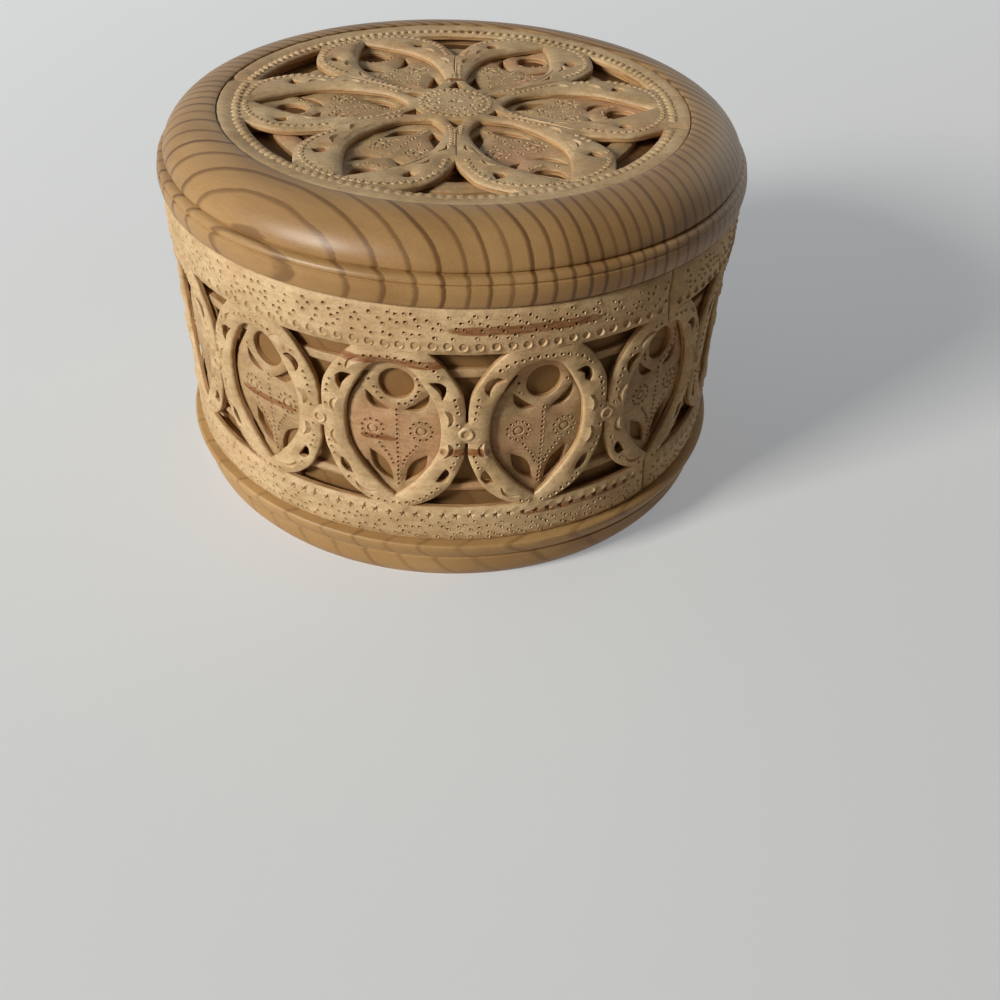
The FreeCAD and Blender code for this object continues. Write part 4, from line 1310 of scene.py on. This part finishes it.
class BOX_OT_turned_lid(bpy.types.Operator):
    """Turn the lid: beaded apron, domed shoulder, recess for the bark and socket for the lip"""

    bl_idname = "bark_box.turned_lid"
    bl_label = "Turned Lid"

    def execute(self, context):
        look = context.scene.pine_finish
        part, crest, floor = PARTING / MM, LID_TOP / MM - CREST_DROP, INLAY_TOP / MM - RECESS

        def above(corners):
            return [(out, part + up) for out, up in corners]

        section = above([(0, LID_SOCKET), (LID_SOCKET_RADIUS, LID_SOCKET), (LID_SOCKET_RADIUS, 0),
                         (45.45, 0)])
        section += rounded(above([(45.45, 0), (45.72, 0.25), (46.0, 1.4), (46.09, 2.4), (45.96, 3.15)]), 0.4)
        section += above([(45.7, 3.36), (45.7, 3.46)])
        section += rounded(above([(45.7, 3.46), (45.86, 3.64), (45.76, 4.06), (45.4, 4.42),
                                  (44.95, 4.55)]), 0.3)
        section += above([(44.6, 4.62), (44.62, 4.7)])
        shoulder = above([(44.62, 4.7), (45.6, 4.83)]) + [SHOULDER_PULL, (36.6, crest)]
        for t in np.linspace(0, 1, 26)[1:]:
            shares = (1 - t) ** 3, 3 * t * (1 - t) ** 2, 3 * t * t * (1 - t), t ** 3
            section.append(tuple(sum(np.array(corner) * share
                                     for corner, share in zip(shoulder, shares))))
        section += [(RECESS_RADIUS + 0.04, crest - 0.07), (RECESS_RADIUS, crest - 0.25),
                    (RECESS_RADIUS, floor), (0, floor)]
        item = turn_pine("pine_lid", section)
        # The recess floor under the rosette gets its own material, darkened with painted shade.
        for face in item.data.polygons:
            if abs(face.center.z / MM - floor) < 0.01:
                face.material_index = 1
        dress(item, "lid", "turned_lid", [
            pine("pine_of_lid", look, LID_LOG, contrast=0.88, tan=0.45, gloss=0.32),
            pine("pine_of_recess_painted_shade", look, LID_LOG, contrast=0.85, tan=1.0, gloss=0.7, dark=0.85)])
        return {"FINISHED"}


class BOX_OT_openwork_band(bpy.types.Operator):
    """Cut the outer strip of the wall into medallions, prick and stamp it, and bend it round"""

    bl_idname = "bark_box.openwork_band"
    bl_label = "Openwork Band"

    def execute(self, context):
        sizes, look = context.scene.box_sizes, context.scene.bark_finish
        wall = Wall(sizes, 0.0, sizes.medallion_angle + 2 * math.pi / sizes.medallions)
        sheet = openwork_strip(wall, sizes.openwork / MM, make_stamps(), sizes.medallions,
                               random.Random(11))
        dress_bark(
            sheet.build("bark_band_openwork", wall.place), "box", "openwork_band", look,
            offset=(0, 0, 0), rosy=0.2, shady=0.0, inner_painted_shade=0.0, edge_rosy=0.5,
            streaks=wall.streaks(OPENWORK_STREAKS))
        return {"FINISHED"}


class BOX_OT_stamped_band(bpy.types.Operator):
    """Cut and stamp the inner strip of the wall with tulips and bend it round"""

    bl_idname = "bark_box.stamped_band"
    bl_label = "Stamped Band"

    def execute(self, context):
        sizes, look = context.scene.box_sizes, context.scene.bark_finish
        start = (sizes.medallion_angle + math.radians(INNER_LEAN)
                 + math.pi / sizes.medallions * INNER_JOINT)
        wall = Wall(sizes, (sizes.openwork + sizes.clearance) / MM, start)
        sheet = stamped_strip(wall, sizes.stamped / MM, make_stamps(), sizes.medallions,
                              random.Random(12))
        dress_bark(
            sheet.build("bark_band_stamped", wall.place), "box", "stamped_band", look,
            # This inner strip lies under the outer one, so its face is darkened with painted shade.
            offset=(40, 13, 5), rosy=0.75, shady=0.35, inner_painted_shade=0.17, edge_rosy=0.4,
            streaks=wall.streaks(STAMPED_STREAKS))
        return {"FINISHED"}


class BOX_OT_openwork_rosette(bpy.types.Operator):
    """Cut the outer sheet of the lid into six petals, prick and stamp it"""

    bl_idname = "bark_box.openwork_rosette"
    bl_label = "Openwork Rosette"

    def execute(self, context):
        sizes, look = context.scene.box_sizes, context.scene.bark_finish
        sheet = openwork_disc(sizes.inlay_radius / MM, sizes.openwork / MM, make_stamps(),
                              sizes.petals, random.Random(13))
        place = lay_disc(INLAY_TOP / MM, math.degrees(sizes.petal_angle))
        dress_bark(
            sheet.build("bark_rosette_openwork", place), "lid", "openwork_rosette", look,
            offset=(90, 33, 2), rosy=0.3, shady=0.25, inner_painted_shade=0.0, edge_rosy=0.1,
            streaks=ROSETTE_STREAKS)
        return {"FINISHED"}


class BOX_OT_stamped_rosette(bpy.types.Operator):
    """Cut and stamp the inner sheet of the lid with tulips and straps"""

    bl_idname = "bark_box.stamped_rosette"
    bl_label = "Stamped Rosette"

    def execute(self, context):
        sizes, look = context.scene.box_sizes, context.scene.bark_finish
        sheet = stamped_disc(sizes.inlay_radius / MM, sizes.stamped / MM, make_stamps(),
                             sizes.petals, random.Random(14))
        top = (INLAY_TOP - sizes.openwork - sizes.clearance) / MM
        place = lay_disc(top, math.degrees(sizes.petal_angle) + INNER_DISC_TURN)
        dress_bark(
            sheet.build("bark_rosette_stamped", place), "lid", "stamped_rosette", look,
            # This inner sheet lies under the outer one, so its face is darkened with painted shade.
            offset=(60, 73, 8), rosy=0.8, shady=0.5, inner_painted_shade=0.08, edge_rosy=0.2)
        return {"FINISHED"}


def seen(tree):
    """1 for the rays that show the floor and the backdrop, and 0 for those that light the box."""
    rays = add(tree, "ShaderNodeLightPath").outputs
    mirrored = Value(tree, rays["Is Glossy Ray"]).calc("MAXIMUM", rays["Is Transmission Ray"])
    return mirrored.calc("MAXIMUM", rays["Is Camera Ray"])


class BOX_OT_stage(bpy.types.Operator):
    """Set up the pale floor, the soft studio light and the camera"""

    bl_idname = "bark_box.stage"
    bl_label = "Stage"

    def execute(self, context):
        look, scene = context.scene.stage_look, context.scene
        bpy.ops.object.select_all(action="DESELECT")
        bpy.ops.mesh.primitive_plane_add(size=FLOOR_WIDTH, location=(0, 0, 0))
        floor = context.object
        floor.name = "floor"
        material, tree, shader = new_material("pale_floor")
        place = value(tree, "ShaderNodeTexCoord", {}, "Object")
        cloud = blend(tree, speckle(tree, place, (9.0, 9.0, 9.0)) * 0.06, look.floor, FLOOR_CLOUD)
        # Painted light: the glow grows towards the back and the left and fades towards the front and the
        # right.
        slope = places(tree, "DOT_PRODUCT", place, FLOOR_PAINTED_LIGHT_SLOPE, output="Value") + 1.0
        slope = slope.calc("MAXIMUM", 0.6).calc("MINIMUM", 1.4)
        feed(tree, shader, {
            "Base Color": blend(tree, seen(tree), look.bounce, cloud), "Roughness": 0.75,
            "Emission Color": FLOOR_GLOW, "Emission Strength": seen(tree) * (slope * look.glow)})
        floor.data.materials.append(material)

        aim = Vector(LAMP_AIM)
        for name, azimuth, elevation, away, width, power, tint in LAMPS:
            turn, rise = math.radians(azimuth), math.radians(elevation)
            place = aim + away * Vector((math.cos(rise) * math.sin(turn),
                                         -math.cos(rise) * math.cos(turn), math.sin(rise)))
            bpy.ops.object.light_add(type="AREA", location=place)
            lamp = context.object
            lamp.name = name
            lamp.rotation_euler = (aim - place).to_track_quat("-Z", "Y").to_euler()
            lamp.data.size, lamp.data.energy, lamp.data.color = width, look.key * power, tint

        scene.world = bpy.data.worlds.new("studio")
        scene.world.use_nodes = True
        tree = scene.world.node_tree
        tree.nodes.clear()
        shown = seen(tree)
        ground = add(tree, "ShaderNodeBackground", {
            "Color": blend(tree, shown, WORLD_TINT, BACKDROP_TINT),
            "Strength": shown * (BACKDROP - look.fill) + look.fill})
        add(tree, "ShaderNodeOutputWorld", {0: ground.outputs[0]})

        bpy.ops.object.camera_add()
        camera = context.object
        camera.name = "view"
        camera.matrix_world = (Matrix.Translation(CAMERA_PLACE)
                               @ Matrix.Rotation(math.radians(CAMERA_TILT), 4, "X")
                               @ Matrix.Rotation(math.radians(CAMERA_ROLL), 4, "Z"))
        camera.data.lens, camera.data.sensor_width = LENS, FILM
        camera.data.clip_start = 0.01
        scene.camera = camera
        scene.view_settings.view_transform = "Standard"
        return {"FINISHED"}


OPERATORS = (BOX_OT_turned_cup, BOX_OT_stamped_band, BOX_OT_openwork_band, BOX_OT_turned_lid,
             BOX_OT_stamped_rosette, BOX_OT_openwork_rosette, BOX_OT_stage)
GROUPS = {"box_sizes": BoxSizes, "bark_finish": BarkFinish, "pine_finish": PineFinish,
          "stage_look": StageLook}


class BOX_PT_panel(bpy.types.Panel):
    """Sizes, finishes and the steps that make the box"""

    bl_idname = "BOX_PT_panel"
    bl_label = "Birch Bark Box"
    bl_space_type = "VIEW_3D"
    bl_region_type = "UI"
    bl_category = "Birch Bark Box"

    def draw(self, context):
        for group in GROUPS:
            settings = getattr(context.scene, group)
            box = self.layout.box()
            for name in settings.bl_rna.properties.keys():
                if name not in ("rna_type", "name"):
                    box.prop(settings, name)
        for operator in OPERATORS:
            self.layout.operator(operator.bl_idname)


def register():
    for group, kind in GROUPS.items():
        bpy.utils.register_class(kind)
        setattr(bpy.types.Scene, group, bpy.props.PointerProperty(type=kind))
    for kind in OPERATORS + (BOX_PT_panel,):
        bpy.utils.register_class(kind)


def unregister():
    for kind in reversed(OPERATORS + (BOX_PT_panel,)):
        bpy.utils.unregister_class(kind)
    for group, kind in GROUPS.items():
        delattr(bpy.types.Scene, group)
        bpy.utils.unregister_class(kind)


def main():
    register()
    bpy.ops.bark_box.turned_cup()
    bpy.ops.bark_box.stamped_band()
    bpy.ops.bark_box.openwork_band()
    bpy.ops.bark_box.turned_lid()
    bpy.ops.bark_box.stamped_rosette()
    bpy.ops.bark_box.openwork_rosette()
    bpy.ops.bark_box.stage()


if __name__ == "__main__":
    main()
